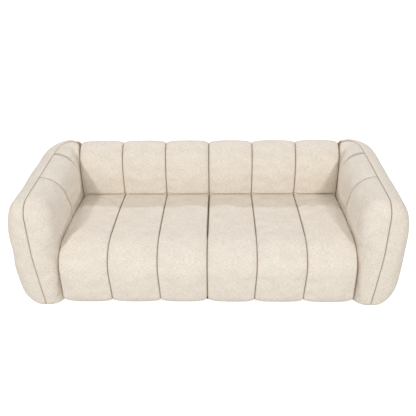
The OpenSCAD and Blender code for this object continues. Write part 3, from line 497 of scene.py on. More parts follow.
def corner_points(p, s, t, low, deep):
    """Points of a corner cover, from the arm's seam profile round to the back's."""
    rise = p.top_h - p.crest_pad * deep - p.shoulder_z
    wide = p.arm_in - 2 * p.gap
    out = wide * bow_out(t, p.arm_n)
    sunk = 0 if deep else p.dip * pull(out, p.seam_w) + p.pinch * pull(out, p.pinch_w)
    side_z = np.where(low > 0, mix(p.shoulder_z, p.tuck_h, low), p.shoulder_z + rise * bow_up(t, p.arm_n))
    arm_z = side_z - np.where(low > 0, 0, sunk)
    from_y = seam_bc(p, side_z) + p.gap
    back_top = p.ridge_z - (p.ridge_pad if deep else p.back_crease)
    back_z = np.where(low > 0, mix(p.lumbar_z, p.tuck_h, low), mix(p.lumbar_z, back_top, bow_up(t, p.back_n)))
    crease = p.back_crease * np.where(low > 0, above_seat(p, back_z), 1)
    reach = p.back_reach - (p.back_pad if deep else crease)
    back_py = p.crest_y - p.gap - reach * np.where(low > 0, 1, bow_out(t, p.back_n))
    if not deep:
        back_py = np.where(low > 0, face_at(p, back_z) + crease, back_py)
    px = np.maximum(3, wide - (wide - p.arm_pad * deep) * np.where(low > 0, 1, bow_out(t, p.arm_n)))
    dy = back_py - from_y
    a = np.pi / 2 * (s - 3)
    turn = ease(s - 3)
    across = np.cos(a).clip(0) ** (2 / p.crest_n)
    along = mix(s - 3, np.sin(a).clip(0) ** (2 / p.crest_n), np.minimum(1, px / 40))
    x, y = px * across, dy * along
    full = (1 - pull(np.hypot(px - x, y), p.arm_end_w)) * (1 - pull(np.hypot(x, dy - y), p.back_end_w, 2))
    fade = np.where(low > 0, above_seat(p, mix(arm_z, back_z, turn)), mix(crest_rise(t), 1, turn))
    high = np.interp(t, [44, 58], [0, 1])
    crown = mix(p.corner_crown, mix(p.corner_crown, p.crest_crown + p.back_crease, high), turn)
    puff = 0 if deep else fade * crown * full
    lean_x, lean_z = bow_lean(t, p.arm_n, p.arm_in, rise)
    return np.stack(np.broadcast_arrays(
        p.half_w + p.gap + x - puff * lean_x * np.cos(a), from_y + y - puff * lean_x * np.sin(a),
        mix(arm_z, back_z, turn) + puff * lean_z), axis=2)


def corner_cover_grid(p):
    """Corner cover between an arm and the back."""
    s = 3 + crowded(30)[None, :]
    t, low = rows_down(p, 7.5, 40)
    show = corner_points(p, s, t, low, 0)
    lining = corner_points(p, s, t, low, 1)
    size = np.linalg.norm(np.diff(show, axis=1), axis=2)
    at = np.concatenate([np.zeros((len(size), 1)), np.cumsum(size, axis=1)], axis=1)
    crest_d = np.linalg.norm(show - show[:1], axis=2)
    seam_d = np.minimum(np.minimum(at, at[:, -1:] - at), crest_d)
    a = np.pi / 2 * (s - 3) + 0 * crest_d
    outward = np.stack([np.cos(a), np.sin(a), 0 * a], axis=2)
    ends = np.where((at < at[:, -1:] - at)[..., None], (0, 1, 0), (1, 0, 0))
    across = np.where((crest_d <= seam_d)[..., None], outward, ends)
    free = ease((show[..., 2] - p.seat_h + 10) / 60) * ease(seam_d / LET_GO)
    return SimpleNamespace(show=show, lining=lining, seam_d=seam_d, free=free, way=(-0.5, -0.5, 0.7),
                           across=across, sewn=(seam_d < ON_SEAM) & (low < 0.6), deep=1.3 + 0 * seam_d,
                           loose=0.6)


def flank_rows(p, rows):
    """Angles down the outer covers, from the crest over the flank to the floor."""
    end = math.degrees(math.asin(((p.flank_z - p.floor_gap) / (p.flank_z - p.flank_low_z)) ** (p.flank_n / 2)))
    t = np.concatenate([np.linspace(90, 0, 400), np.linspace(0, -end, 200)[1:]])
    size = np.where(t >= 0, p.top_h - p.flank_z, p.flank_z - p.flank_low_z)
    line = np.stack([p.flank_w * bow_out(t, p.flank_n), np.sign(t) * size * bow_up(t, p.flank_n)], axis=1)
    at = np.concatenate([[0], np.cumsum(np.hypot(*np.diff(line, axis=0).T))])
    places = np.concatenate([NEAR_SEAM, np.linspace(11, at[-1], rows)])
    return np.interp(places, at, t)[:, None]


def flank_z_at(p, t, pad):
    """Height down an outer cover; the pad lowers the crest of its lining."""
    return np.where(t >= 0, mix(p.flank_z, p.top_h - pad, bow_up(t, p.flank_n)),
                    p.flank_z - (p.flank_z - p.flank_low_z) * bow_up(t, p.flank_n))


def flank_out(p, t, deep):
    """Share of the way out from the crest to the flank; the lining starts a little way out."""
    c = bow_out(t, p.flank_n)
    if not deep:
        return c
    return np.maximum(c, np.interp(90 - t, [0, 2, 10, 90], [0.1, 0.13, 0.16, 0.16]) * (t > 0))


def crest_fall(p, s):
    """How far the crest lies below the top of the outer cover, apart from the seam's own dip."""
    ends = p.pinch * (1 - inner_swell(np.minimum(s, 3)))
    t, low = np.full((1, 1), 90.0), np.zeros((1, 1))
    round_z = corner_points(p, np.clip(s, 3, 4), t, low, 0)[..., 2]
    return np.where(s <= 3, np.where(s > 1, ends, 0), p.top_h - round_z - p.dip)


def crest_fade(t, back):
    """How much of the crest's hollows is left further out; back is 1 on the back and 0 on the arms."""
    arm = np.interp(90 - t, [0, 2, 10, 24, 38], [1, .85, .45, .12, 0])
    return mix(arm, np.interp(90 - t, [0, 2, 10, 24, 38, 60], [1, .97, .88, .65, .3, 0]), back)


def outer_points(p, s, t, deep):
    """Points of an outer arm cover, which wraps the corner to the back."""
    fade = crest_fade(t, ease(s - 3)) * (1 - deep)
    z = arm_rise(p, flank_z_at(p, t, p.flank_pad * deep), s) - crest_fall(p, s) * fade
    c = flank_out(p, t, deep)
    cx = crest_at(p, z) + p.gap
    side_x = p.crest_x + p.gap + (p.arm_out - p.gap - p.outer_pad * deep) * c
    side_y = p.crest_y + p.gap + (p.back_out - p.gap - p.outer_pad * deep) * c
    g = arm_round(s, p.seam_front_n)
    a = np.pi / 2 * np.clip(s - 3, 0, 1)
    n = mix(p.crest_n, p.plan_n, c)
    out = np.where(s <= 3, (side_x - cx) * g, p.arm_out * c)
    front = front_curve(p, s, p.front_pad * deep) + front_tuck(p, z, s)
    x = np.where(s <= 3, cx + out, p.half_w + p.gap + (side_x - p.half_w - p.gap) * np.cos(a).clip(0) ** (2 / n))
    y = np.where(s <= 3, np.where(s < 1, front, mix(p.front_y + p.front_r, p.bc_y, (s - 1) / 2)),
                 p.bc_y + (side_y - p.bc_y) * np.sin(a).clip(0) ** (2 / n))
    if not deep:
        back, down = crest_dips(p, s, out)
        y, z = y + back, z - down
    return np.stack(np.broadcast_arrays(x, y, z), axis=2), out + 0 * z


def arm_outer_grid(p):
    """Outer arm cover: from the crest seam over the flank to the floor, from the arm front to the back."""
    s = np.concatenate([crowded(28)[:-1], np.linspace(1, 3, 56)[:-1], 3 + crowded(46)])[None, :]
    t = flank_rows(p, 70)
    show, out = outer_points(p, s, t, 0)
    lining, _ = outer_points(p, s, t, 1)
    # One step of s there is about 500 mm of cloth
    ends = 500 * np.abs(4 - s) + 0 * out
    seam_d = np.minimum(out, ends)
    a = np.pi / 2 * np.clip(s - 3, 0, 1) + 0 * out
    across = np.where((ends < out)[..., None], (1, 0, 0), np.stack([np.cos(a), np.sin(a), 0 * a], axis=2))
    free = ease(show[..., 2] / 60 - 0.35) * ease(seam_d / LET_GO)
    return SimpleNamespace(show=show, lining=lining, seam_d=seam_d, free=free, way=(0.9, -0.1, 0.3),
                           across=across, sewn=None, deep=np.where(s > 3, 1.1, 0.6) + 0 * seam_d, loose=0.3)


def back_outer_grid(p):
    """Outer back cover: follows the channels along the crest and is plain below."""
    at, channel, u = channel_steps(p.channels, 24)
    side = np.concatenate([-np.ones(len(at) - 1), np.ones(len(at))])
    at, channel, u = (np.concatenate([a[:0:-1], a]) for a in (at, channel, u))
    t = flank_rows(p, 70)
    drop = back_drop(p, channel, u)
    fall = p.top_h - p.ridge_z - ((p.crest_crown + drop) * swell(u) - drop)
    fade = crest_fade(t, 1)
    x = side * (p.half_w - p.gap) * at
    grids = []
    for deep in (0, 1):
        y = p.crest_y + p.gap + (p.back_out - p.gap - p.outer_pad * deep) * flank_out(p, t, deep)
        z = flank_z_at(p, t, p.flank_pad * deep) - fall * fade * (1 - deep)
        grids.append(np.stack(np.broadcast_arrays(x, y, z), axis=2))
    show, lining = grids
    crest_d, ends = show[..., 1] - p.crest_y, p.half_w - np.abs(x) + 0 * fade
    seam_d = np.minimum(crest_d, ends)
    across = np.where((ends < crest_d)[..., None], (1, 0, 0), (0, 1, 0))
    free = ease(show[..., 2] / 60 - 0.35) * ease(seam_d / 20)
    return SimpleNamespace(show=show, lining=lining, seam_d=seam_d, free=free, way=(0, 0.9, 0.3),
                           across=across, sewn=(ends < ON_SEAM) | (crest_d < ON_SEAM), deep=0.4 + 0 * seam_d,
                           loose=0.3)


def link_new(name, data):
    """A new object in the scene."""
    obj = bpy.data.objects.new(name, data)
    bpy.context.collection.objects.link(obj)
    return obj


def grid_faces(rows, columns):
    """Numbers of the points of a grid, and its faces as rows of four of them."""
    index = np.arange(rows * columns).reshape(rows, columns)
    faces = np.stack([index[:-1, :-1], index[:-1, 1:], index[1:, 1:], index[1:, :-1]], axis=2)
    return index, faces.reshape(-1, 4)


def smooth(mesh):
    """Shades all the faces of a mesh smooth."""
    mesh.polygons.foreach_set("use_smooth", np.ones(len(mesh.polygons), dtype=bool))


# Cloth weight and stiffness, and the stuffing as pressure; the shrink below 0 is cloth cut a little loose
CLOTH = {"vertex_group_mass": "held", "quality": 6, "mass": 0.3, "tension_stiffness": 20, "compression_stiffness": 8,
         "shear_stiffness": 8, "bending_stiffness": 4, "use_pressure": True, "uniform_pressure_force": 1.2,
         "shrink_min": -0.012}
CLOTH_FRAMES = 20


def settle(p, cover):
    """Lets the cloth swell and wrinkle over its stuffing with its seams held, and returns the new show side."""
    if p.slack <= 0:
        return cover.show
    scene = bpy.context.scene
    _, faces = grid_faces(*cover.show.shape[:2])
    if facing(cover.show, cover.way) > 0:
        faces = faces[:, ::-1]
    mesh = bpy.data.meshes.new("cloth_trial")
    mesh.from_pydata((cover.show.reshape(-1, 3) * MM).tolist(), [], faces.tolist())
    obj = link_new("cloth_trial", mesh)
    held = obj.vertex_groups.new(name="held")
    pinned = (cover.seam_d < ON_SEAM) | (cover.free < 0.02)
    held.add([int(i) for i in np.flatnonzero(pinned)], 1.0, "REPLACE")
    cloth = obj.modifiers.new("cloth", "CLOTH")
    for key, value in CLOTH.items():
        setattr(cloth.settings, key, value)
    cloth.settings.effector_weights.gravity = 0
    cloth.collision_settings.use_collision = False
    cloth.point_cache.frame_start, cloth.point_cache.frame_end = 1, CLOTH_FRAMES
    for f in range(1, CLOTH_FRAMES + 1):
        scene.frame_set(f)
    done = obj.evaluated_get(bpy.context.evaluated_depsgraph_get()).data
    points = np.empty(len(done.vertices) * 3)
    done.vertices.foreach_get("co", points)
    scene.frame_set(1)
    bpy.data.objects.remove(obj)
    bpy.data.meshes.remove(mesh)
    move = points.reshape(cover.show.shape) / MM - cover.show
    size = np.linalg.norm(move, axis=2, keepdims=True)
    most = p.slack * cover.loose
    move *= np.tanh(size / most) * most / np.maximum(size, 1e-6)
    return cover.show + move * (cover.free * ease(cover.seam_d / p.settle_w))[..., None]


def fold_in(p, cover, show):
    """Folds the cloth down into its seams, straight in between the channels on either side."""
    n = normals_of(show) * facing(show, cover.way)
    across = np.broadcast_to(np.array(cover.across, dtype=float), show.shape)
    n = n - across * np.sum(n * across, axis=2, keepdims=True)
    n /= np.maximum(np.linalg.norm(n, axis=2, keepdims=True), 1e-6)
    width = p.fold_w * np.sqrt(cover.deep).clip(1)
    return show - n * (p.fold * cover.deep * pull(cover.seam_d, width, 2.0))[..., None]


def finish_cover(name, p, cover, side, material):
    """Closed padded cover from its show side and lining, mirrored for the left of the sofa."""
    show = fold_in(p, cover, dress(p, cover, settle(p, cover)))
    rows, columns = show.shape[:2]
    first = rows * columns
    points = np.concatenate([show.reshape(-1, 3), cover.lining.reshape(-1, 3)]) * MM
    points[:, 0] *= side
    index, outer = grid_faces(rows, columns)
    faces = [outer, outer[:, ::-1] + first]
    for edge in (index[0][::-1], index[-1], index[:, 0], index[::-1, -1]):
        faces.append(np.stack([edge[:-1], edge[1:], edge[1:] + first, edge[:-1] + first], axis=1))
    faces = np.concatenate(faces)
    if facing(show, cover.way) * side > 0:
        faces = faces[:, ::-1]
    mesh = bpy.data.meshes.new(name)
    mesh.from_pydata(points.tolist(), [], faces.tolist())
    # Places in the flat cloth, from lengths along one row and one column; the seed moves each cover's cut
    middle_row = np.linalg.norm(np.diff(show[rows // 3], axis=0), axis=1)
    middle_column = np.linalg.norm(np.diff(show[:, columns // 2], axis=0), axis=1)
    across = np.concatenate([[0], np.cumsum(middle_row)]) * MM
    down = np.concatenate([[0], np.cumsum(middle_column)]) * MM
    flat = np.stack(np.broadcast_arrays(across[None, :] + 0.37 * cover.seed, down[:, None]), axis=2).reshape(-1, 2)
    flat = np.concatenate([flat, flat])
    corners = np.empty(len(mesh.loops), dtype=np.int32)
    mesh.loops.foreach_get("vertex_index", corners)
    layer = mesh.uv_layers.new(name="cut")
    layer.data.foreach_set("uv", flat[corners].ravel())
    # Painted shade: how strongly the cloth is tinted darker near each seam, more where it folds deeper
    crushed = mesh.attributes.new("crushed", "FLOAT", "POINT")
    crushed.data.foreach_set("value", np.tile((cover.deep * ease(1 - cover.seam_d / p.fold_w)).ravel(), 2))
    sewn = mesh.attributes.new("sewn", "BOOLEAN", "POINT")
    marks = np.zeros(2 * first, dtype=bool)
    if cover.sewn is not None:
        marks[:first] = np.broadcast_to(cover.sewn, show.shape[:2]).ravel()
    sewn.data.foreach_set("value", marks)
    smooth(mesh)
    mesh.set_sharp_from_angle(angle=math.radians(70))
    mesh.materials.append(material)
    mesh.update()
    return link_new(name, mesh)


def hand_over(obj, fill, slot, *nodes):
    """A padded piece stands for its CAD solids and stays on the sofa."""
    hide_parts(*nodes)
    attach(obj, "root")


def build_pair(grid, kind, label, fill, seed):
    """Right and left cover of one kind; each side has its own unevenness."""
    p = plan()
    for side, way in SIDES:
        cover = grid(p)
        cover.seed = seed + (way < 0) * 50
        obj = finish_cover(f"{label}_{side}", p, cover, way, cloth_material())
        hand_over(obj, fill, "channel_cloth", f"{kind}_{side}")


# Materials
def feed(tree, item, inputs):
    """Gives a node its inputs, which are constants or other nodes' outputs."""
    for key, value in inputs.items():
        if isinstance(value, bpy.types.NodeSocket):
            tree.links.new(value, item.inputs[key])
        else:
            item.inputs[key].default_value = value


def add(tree, kind, inputs=None, **settings):
    """A node with its settings and its inputs."""
    item = tree.nodes.new(kind)
    for key, value in settings.items():
        setattr(item, key, value)
    feed(tree, item, inputs or {})
    return item


def maths(tree, operation, *values):
    return add(tree, "ShaderNodeMath", dict(enumerate(values)), operation=operation).outputs[0]


def vectors(tree, operation, *values):
    return add(tree, "ShaderNodeVectorMath", dict(enumerate(values)), operation=operation).outputs[0]


def scaled(tree, vector, factor):
    return add(tree, "ShaderNodeVectorMath", {0: vector, "Scale": factor}, operation="SCALE").outputs[0]


def blend(tree, factor, first, second):
    """Colour between two colours."""
    return add(tree, "ShaderNodeMix", {"Factor": factor, 6: first, 7: second}, data_type="RGBA").outputs[2]


def carry(tree, value, low, high, to_low=0.0, to_high=1.0):
    """Value carried from one range over to another, and held within it."""
    return add(tree, "ShaderNodeMapRange", {"Value": value, "From Min": low, "From Max": high, "To Min": to_low,
                                            "To Max": to_high}).outputs["Result"]


def new_material(name):
    """A material with only its output and a surface shader; returns (material, tree, shader)."""
    material = bpy.data.materials.get(name) or bpy.data.materials.new(name)
    material.use_nodes = True
    tree = material.node_tree
    tree.nodes.clear()
    shader = add(tree, "ShaderNodeBsdfPrincipled")
    target = add(tree, "ShaderNodeOutputMaterial")
    tree.links.new(shader.outputs["BSDF"], target.inputs["Surface"])
    return material, tree, shader


def cloth_material():
    """Cream woven upholstery cloth with slub yarns both ways, brushed a little."""
    if "woven_cream_cloth" in bpy.data.materials:
        return bpy.data.materials["woven_cream_cloth"]
    colours = bpy.context.scene.sofa_colours
    yarn = bpy.context.scene.sofa_sizes.yarn
    material, tree, shader = new_material("woven_cream_cloth")
    cut = add(tree, "ShaderNodeUVMap", uv_map="cut").outputs["UV"]

    def noise(x_size, y_size, name):
        """Uneven field whose patches are that long each way, in metres of cloth."""
        place = vectors(tree, "MULTIPLY", cut, (1 / x_size, 1 / y_size, 1))
        return add(tree, "ShaderNodeTexNoise", {"Vector": place, "Scale": 1.0, "Detail": 2.0, "Roughness": 0.55},
                   noise_dimensions="2D", label=name).outputs["Fac"]

    # The real slubs are about 1.5 mm thick; drawn 4.5 mm so that they show from across a room
    weft = noise(0.018, 0.0045, "slub yarns across")
    warp = noise(0.0045, 0.016, "slub yarns down")
    tone = noise(0.09, 0.05, "uneven tone")
    dark = maths(tree, "MAXIMUM", carry(tree, weft, 0.48, 0.72), carry(tree, warp, 0.52, 0.8))
    light = maths(tree, "MULTIPLY", carry(tree, weft, 0.5, 0.24), 0.66)
    yarns = blend(tree, maths(tree, "MULTIPLY", dark, 0.42), colours.cloth, colours.dark_yarn)
    yarns = blend(tree, light, yarns, colours.light_yarn)
    # Painted shade: the cloth turned down into a seam is tinted darker with the fold colour, standing in for the
    # shade in the crease
    fold = add(tree, "ShaderNodeAttribute", attribute_name="crushed", attribute_type="GEOMETRY").outputs["Fac"]
    shaded_yarns = vectors(tree, "MULTIPLY", yarns, blend(tree, fold, (1, 1, 1, 1), colours.fold))

    # Plain weave: one yarn over and the next under; the slubs stand proud of it
    turns = vectors(tree, "MULTIPLY", cut, (math.pi / yarn, math.pi / yarn, 0))
    split = add(tree, "ShaderNodeSeparateXYZ", {0: turns}).outputs
    weave = maths(tree, "MULTIPLY", maths(tree, "SINE", split["X"]), maths(tree, "SINE", split["Y"]))
    height = maths(tree, "MULTIPLY_ADD", weave, 0.35, maths(tree, "ADD", weft, warp))
    bump = add(tree, "ShaderNodeBump", {"Height": height, "Strength": 0.5, "Distance": 0.0009})
    feed(tree, shader, {"Base Color": scaled(tree, shaded_yarns, carry(tree, tone, 0.3, 0.7, 0.965, 1.03)),
                        "Normal": bump.outputs["Normal"], "Roughness": 0.92, "Specular IOR Level": 0.2,
                        "Sheen Weight": 0.22, "Sheen Roughness": 0.55, "Sheen Tint": linear("#fff6e8")})
    return material


def thread_material():
    """Spun polyester sewing thread, two plies twisted."""
    material, tree, shader = new_material("twisted_sewing_thread")
    place = add(tree, "ShaderNodeTexCoord").outputs["Object"]
    # Twist drawn at 1.5 mm
    plies = add(tree, "ShaderNodeTexNoise", {"Vector": place, "Scale": 650.0, "Detail": 1.0}).outputs["Fac"]
    colour = scaled(tree, bpy.context.scene.sofa_colours.thread[:3], carry(tree, plies, 0, 1, 0.8, 1.15))
    feed(tree, shader, {"Base Color": colour, "Roughness": 0.7})
    return material


def textured(name, colours, place_scale, noise_scale, detail, roughness, bump, distance, metallic=0.0, fibre=None):
    """Material from one uneven field in Object coordinates between two colours, with bump from the same field."""
    if name in bpy.data.materials:
        return bpy.data.materials[name]
    material, tree, shader = new_material(name)
    place = vectors(tree, "MULTIPLY", add(tree, "ShaderNodeTexCoord").outputs["Object"], place_scale)
    field = add(tree, "ShaderNodeTexNoise", {"Vector": place, "Scale": noise_scale, "Detail": detail,
                                             "Roughness": 0.6}).outputs["Fac"]
    if fibre:
        cells = add(tree, "ShaderNodeTexVoronoi", {"Vector": place, "Scale": fibre}).outputs["Distance"]
        field = maths(tree, "MULTIPLY_ADD", cells, 0.6, field)
    lift = add(tree, "ShaderNodeBump", {"Height": field, "Strength": bump, "Distance": distance})
    feed(tree, shader, {"Base Color": blend(tree, carry(tree, field, 0.3, 0.75), *colours),
                        "Roughness": carry(tree, field, 0, 1, roughness - 0.08, roughness + 0.1),
                        "Normal": lift.outputs["Normal"], "Metallic": metallic})
    return material


def planed_softwood(axis):
    """Planed softwood with its grain along one axis, growth rings about 4 mm apart."""
    timber = bpy.context.scene.sofa_colours.timber
    grain = [1.0, 1.0, 1.0]
    grain[axis] = 0.06
    late = tuple(c * 0.62 for c in timber[:3]) + (1,)
    return textured(f"planed_softwood_{'xyz'[axis]}", (late, timber), grain, 190.0, 3.0, 0.55, 0.25, 0.0004)


def pressed_hardboard():
    """Brown hardboard with pressed wood fibres."""
    return textured("pressed_hardboard", (linear("#7d5a38"), linear("#a87f52")), (1, 1, 1), 420.0, 4.0, 0.6, 0.2,
                    0.0002)


def zinc_plated_steel():
    """Bright zinc plating with a faint cloudy spangle."""
    return textured("zinc_plated_steel", (linear("#8f979d"), linear("#b6bcc0")), (1, 1, 1), 160.0, 3.0, 0.34, 0.05,
                    0.0001, metallic=1.0)


def moulded_black_plastic():
    """Moulded black plastic with a fine spark-eroded grain."""
    return textured("moulded_black_plastic", (linear("#1f1f1f"), linear("#2b2b2b")), (1, 1, 1), 900.0, 2.0, 0.5, 0.3,
                    0.0002)


def elastic_webbing():
    """Black woven elastic webbing with ribs along its length; ribs drawn 2.5 mm wide."""
    return textured("woven_elastic_webbing", (linear("#171717"), linear("#3a3a38")), (1, 1, 0.05), 400.0, 1.0, 0.8,
                    0.5, 0.0005)


def spunbond_cloth():
    """Black spunbond non-woven, pressed fibres with bonded dots; dots drawn 4 mm apart."""
    return textured("spunbond_black_cloth", (linear("#151515"), linear("#363635")), (1, 1, 1), 500.0, 4.0, 0.85, 0.4,
                    0.0004, fibre=250.0)


def open_cell_foam():
    """Pale yellow open-cell upholstery foam; cells drawn 3 mm across, with painted shade down in them."""
    foam = bpy.context.scene.sofa_colours.foam
    # Painted shade: the foam is drawn darker where its bump is lowest, standing in for the shade down in the cells
    hollow = tuple(c * 0.7 for c in foam[:3]) + (1,)
    return textured("open_cell_foam", (hollow, foam), (1, 1, 1), 300.0, 2.0, 0.9, 0.6, 0.0008, fibre=330.0)


def stitch_tree():
    """Geometry nodes: short twisted stitches in a row along the edges marked as sewn."""
    tree = bpy.data.node_groups.new("seam_stitches", "GeometryNodeTree")
    for name, kind in (("Geometry", "Geometry"), ("Stitch length", "Float"), ("Thread thickness", "Float"),
                       ("Thread material", "Material")):
        tree.interface.new_socket(name, in_out="INPUT", socket_type="NodeSocket" + kind)
    tree.interface.new_socket("Geometry", in_out="OUTPUT", socket_type="NodeSocketGeometry")
    given = add(tree, "NodeGroupInput").outputs
    sewn = add(tree, "GeometryNodeInputNamedAttribute", {"Name": "sewn"}, data_type="BOOLEAN").outputs["Attribute"]
    line = add(tree, "GeometryNodeMeshToCurve", {"Mesh": given["Geometry"], "Selection": sewn}).outputs["Curve"]
    places = add(tree, "GeometryNodeResampleCurve", {"Curve": line, "Length": given["Stitch length"]}, mode="LENGTH")
    tangent = add(tree, "GeometryNodeInputTangent").outputs["Tangent"]
    turn = add(tree, "FunctionNodeAlignRotationToVector", {"Vector": tangent}, axis="Z").outputs["Rotation"]
    lean = add(tree, "FunctionNodeRandomValue", {2: -0.2, 3: 0.2, "Seed": 7}, data_type="FLOAT").outputs[1]
    tilt = add(tree, "ShaderNodeCombineXYZ", {"X": lean, "Y": lean}).outputs["Vector"]
    turn = add(tree, "FunctionNodeRotateRotation", {"Rotation": turn, "Rotate By": tilt},
               rotation_space="LOCAL").outputs["Rotation"]
    shown = maths(tree, "MULTIPLY", given["Stitch length"], 0.78)
    size = add(tree, "ShaderNodeCombineXYZ", {"X": given["Thread thickness"], "Y": given["Thread thickness"],
                                              "Z": shown}).outputs["Vector"]
    one = add(tree, "GeometryNodeMeshUVSphere", {"Segments": 6, "Rings": 4, "Radius": 0.5}).outputs["Mesh"]
    all_of_them = add(tree, "GeometryNodeInstanceOnPoints", {"Points": places.outputs["Curve"], "Instance": one,
                                                             "Rotation": turn, "Scale": size}).outputs["Instances"]
    real = add(tree, "GeometryNodeRealizeInstances", {"Geometry": all_of_them}).outputs["Geometry"]
    done = add(tree, "GeometryNodeSetMaterial", {"Geometry": real, "Material": given["Thread material"]})
    add(tree, "NodeGroupOutput", {"Geometry": done.outputs["Geometry"]})
    return tree


def sew(cover, tree, material):
    """Row of stitches along the seams of a cover, as a piece of its own."""
    sizes = bpy.context.scene.sofa_sizes
    trial = link_new("stitch_trial", cover.data)
    rows = trial.modifiers.new("stitches", "NODES")
    rows.node_group = tree
    values = {"Stitch length": sizes.stitch, "Thread thickness": sizes.thread, "Thread material": material}
    for item in tree.interface.items_tree:
        if item.in_out == "INPUT" and item.name in values:
            rows[item.identifier] = values[item.name]
    trial.update_tag()
    shape = trial.evaluated_get(bpy.context.evaluated_depsgraph_get())
    mesh = bpy.data.meshes.new_from_object(shape)
    bpy.data.objects.remove(trial)
    mesh.name = "stitches_" + cover.name
    smooth(mesh)
    obj = link_new(mesh.name, mesh)
    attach(obj, "root")


def copy_of(node, name, material):
    """Closed copy of a CAD solid as a piece of its own."""
    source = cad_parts[node]
    mesh = source.data.copy()
    mesh.transform(source.matrix_world)
    shape = bmesh.new()
    shape.from_mesh(mesh)
    bmesh.ops.remove_doubles(shape, verts=shape.verts, dist=0.00002)
    shape.to_mesh(mesh)
    shape.free()
    mesh.materials.clear()
    mesh.materials.append(material)
    return link_new(name, mesh)


def foam_block(name, node, fill):
    """Cut foam with its sharp edges rubbed round, in place of its CAD solid."""
    obj = copy_of(node, name, open_cell_foam())
    edges = obj.modifiers.new("worn_edges", "BEVEL")
    edges.width = 0.0015
    edges.segments = 2
    edges.limit_method = "ANGLE"
    edges.angle_limit = math.radians(40)
    rounded = bpy.data.meshes.new_from_object(obj.evaluated_get(bpy.context.evaluated_depsgraph_get()))
    obj.modifiers.clear()
    obj.data = rounded
    hand_over(obj, fill, "seat_foam", node)


# Camera, lights and floor
def add_camera():
    """The photograph's view: from above, in front of the sofa."""
    pitch, yaw, roll = math.radians(30.144062), math.radians(1.466054), math.radians(-0.78623)
    focal_px, image_px, film_mm = 550, 416, 36
    turn = Matrix.Rotation(yaw, 3, "Z")
    forward = turn @ Vector((0, math.cos(pitch), -math.sin(pitch)))
    right = turn @ Vector((1, 0, 0))
    up = right.cross(forward)
    right_2 = math.cos(roll) * right + math.sin(roll) * up
    up_2 = -math.sin(roll) * right + math.cos(roll) * up
    camera = link_new("camera", bpy.data.cameras.new("camera"))
    camera.data.sensor_width = film_mm
    camera.data.sensor_fit = "HORIZONTAL"
    camera.data.lens = film_mm * focal_px / image_px
    axes = Matrix((right_2, up_2, -forward)).transposed().to_4x4()
    camera.matrix_world = Matrix.Translation((0.0787, -3.1419, 2.2427)) @ axes
    bpy.context.scene.camera = camera


def add_light(name, place, target, width, depth, watts, colour):
    light = bpy.data.lights.new(name, "AREA")
    light.shape = "RECTANGLE"
    light.size = width
    light.size_y = depth
    light.energy = watts
    light.color = linear(colour)[:3]
    obj = link_new(name, light)
    obj.location = place
    obj.rotation_euler = (Vector(target) - Vector(place)).to_track_quat("-Z", "Y").to_euler()


def seen_directly(tree):
    """1 for what the camera sees, also in a mirror or through glass, and 0 for light that falls on things."""
    path = add(tree, "ShaderNodeLightPath").outputs
    either = maths(tree, "MAXIMUM", path["Is Camera Ray"], path["Is Glossy Ray"])
    return maths(tree, "MAXIMUM", either, path["Is Transmission Ray"])


def add_world():
    """White studio: soft light from all round, and a plain white background."""
    world = bpy.data.worlds.new("studio")
    bpy.context.scene.world = world
    world.use_nodes = True
    tree = world.node_tree
    tree.nodes.clear()
    soft = add(tree, "ShaderNodeBackground", {"Color": (1, 1, 1, 1), "Strength": 0.5})
    white = add(tree, "ShaderNodeBackground", {"Color": (1, 1, 1, 1), "Strength": 1.0})
    pick = add(tree, "ShaderNodeMixShader", {0: seen_directly(tree), 1: soft.outputs[0], 2: white.outputs[0]})
    add(tree, "ShaderNodeOutputWorld", {"Surface": pick.outputs[0]})


def add_floor():
    """Plain pale studio floor."""
    material, tree, shader = new_material("matt_studio_paper")
    # The paper glows a little, as on a light table, so that it photographs white
    glow = maths(tree, "MULTIPLY", seen_directly(tree), 0.76)
    feed(tree, shader, {"Base Color": bpy.context.scene.sofa_colours.floor, "Roughness": 0.95,
                        "Specular IOR Level": 0.1, "Emission Strength": glow, "Emission Color": (1, 1, 1, 1)})
    far = 14
    mesh = bpy.data.meshes.new("floor")
    mesh.from_pydata([(-far, -far, 0), (far, -far, 0), (far, far, 0), (-far, far, 0)], [], [(0, 1, 2, 3)])
    mesh.materials.append(material)
    link_new("floor", mesh)


class SOFA_OT_seat_covers(bpy.types.Operator):
    """Builds the two seat covers, three channels each, over the front edge to the hem"""
    bl_idname = "sofa.seat_covers"
    bl_label = "Seat covers"

    def execute(self, context):
        build_pair(seat_cover_grid, "seat_cover", "seat_channels", 0.95, 11)
        return {"FINISHED"}


class SOFA_OT_back_covers(bpy.types.Operator):
    """Builds the two back covers, three channels each, from the crest down behind the seat"""
    bl_idname = "sofa.back_covers"
    bl_label = "Back covers"

    def execute(self, context):
        build_pair(back_cover_grid, "back_cover", "back_channels", 0.95, 12)
        return {"FINISHED"}


class SOFA_OT_arm_covers(bpy.types.Operator):
    """Builds the inner and outer covers of both arms"""
    bl_idname = "sofa.arm_covers"
    bl_label = "Arm covers"

    def execute(self, context):
        build_pair(arm_inner_grid, "arm_inner_cover", "arm_inner_channels", 0.95, 13)
        build_pair(arm_outer_grid, "arm_outer_cover", "arm_outer_cloth", 0.9, 14)
        return {"FINISHED"}


class SOFA_OT_corner_covers(bpy.types.Operator):
    """Builds the two corner channels between the arms and the back"""
    bl_idname = "sofa.corner_covers"
    bl_label = "Corner covers"

    def execute(self, context):
        build_pair(corner_cover_grid, "corner_cover", "corner_channel", 0.95, 15)
        return {"FINISHED"}


class SOFA_OT_outer_back(bpy.types.Operator):
    """Builds the outer cover of the back"""
    bl_idname = "sofa.outer_back"
    bl_label = "Outer back cover"

    def execute(self, context):
        p = plan()
        cover = back_outer_grid(p)
        cover.seed = 16
        obj = finish_cover("back_outer_cloth", p, cover, 1, cloth_material())
        hand_over(obj, 0.9, "channel_cloth", "back_outer_cover")
        return {"FINISHED"}


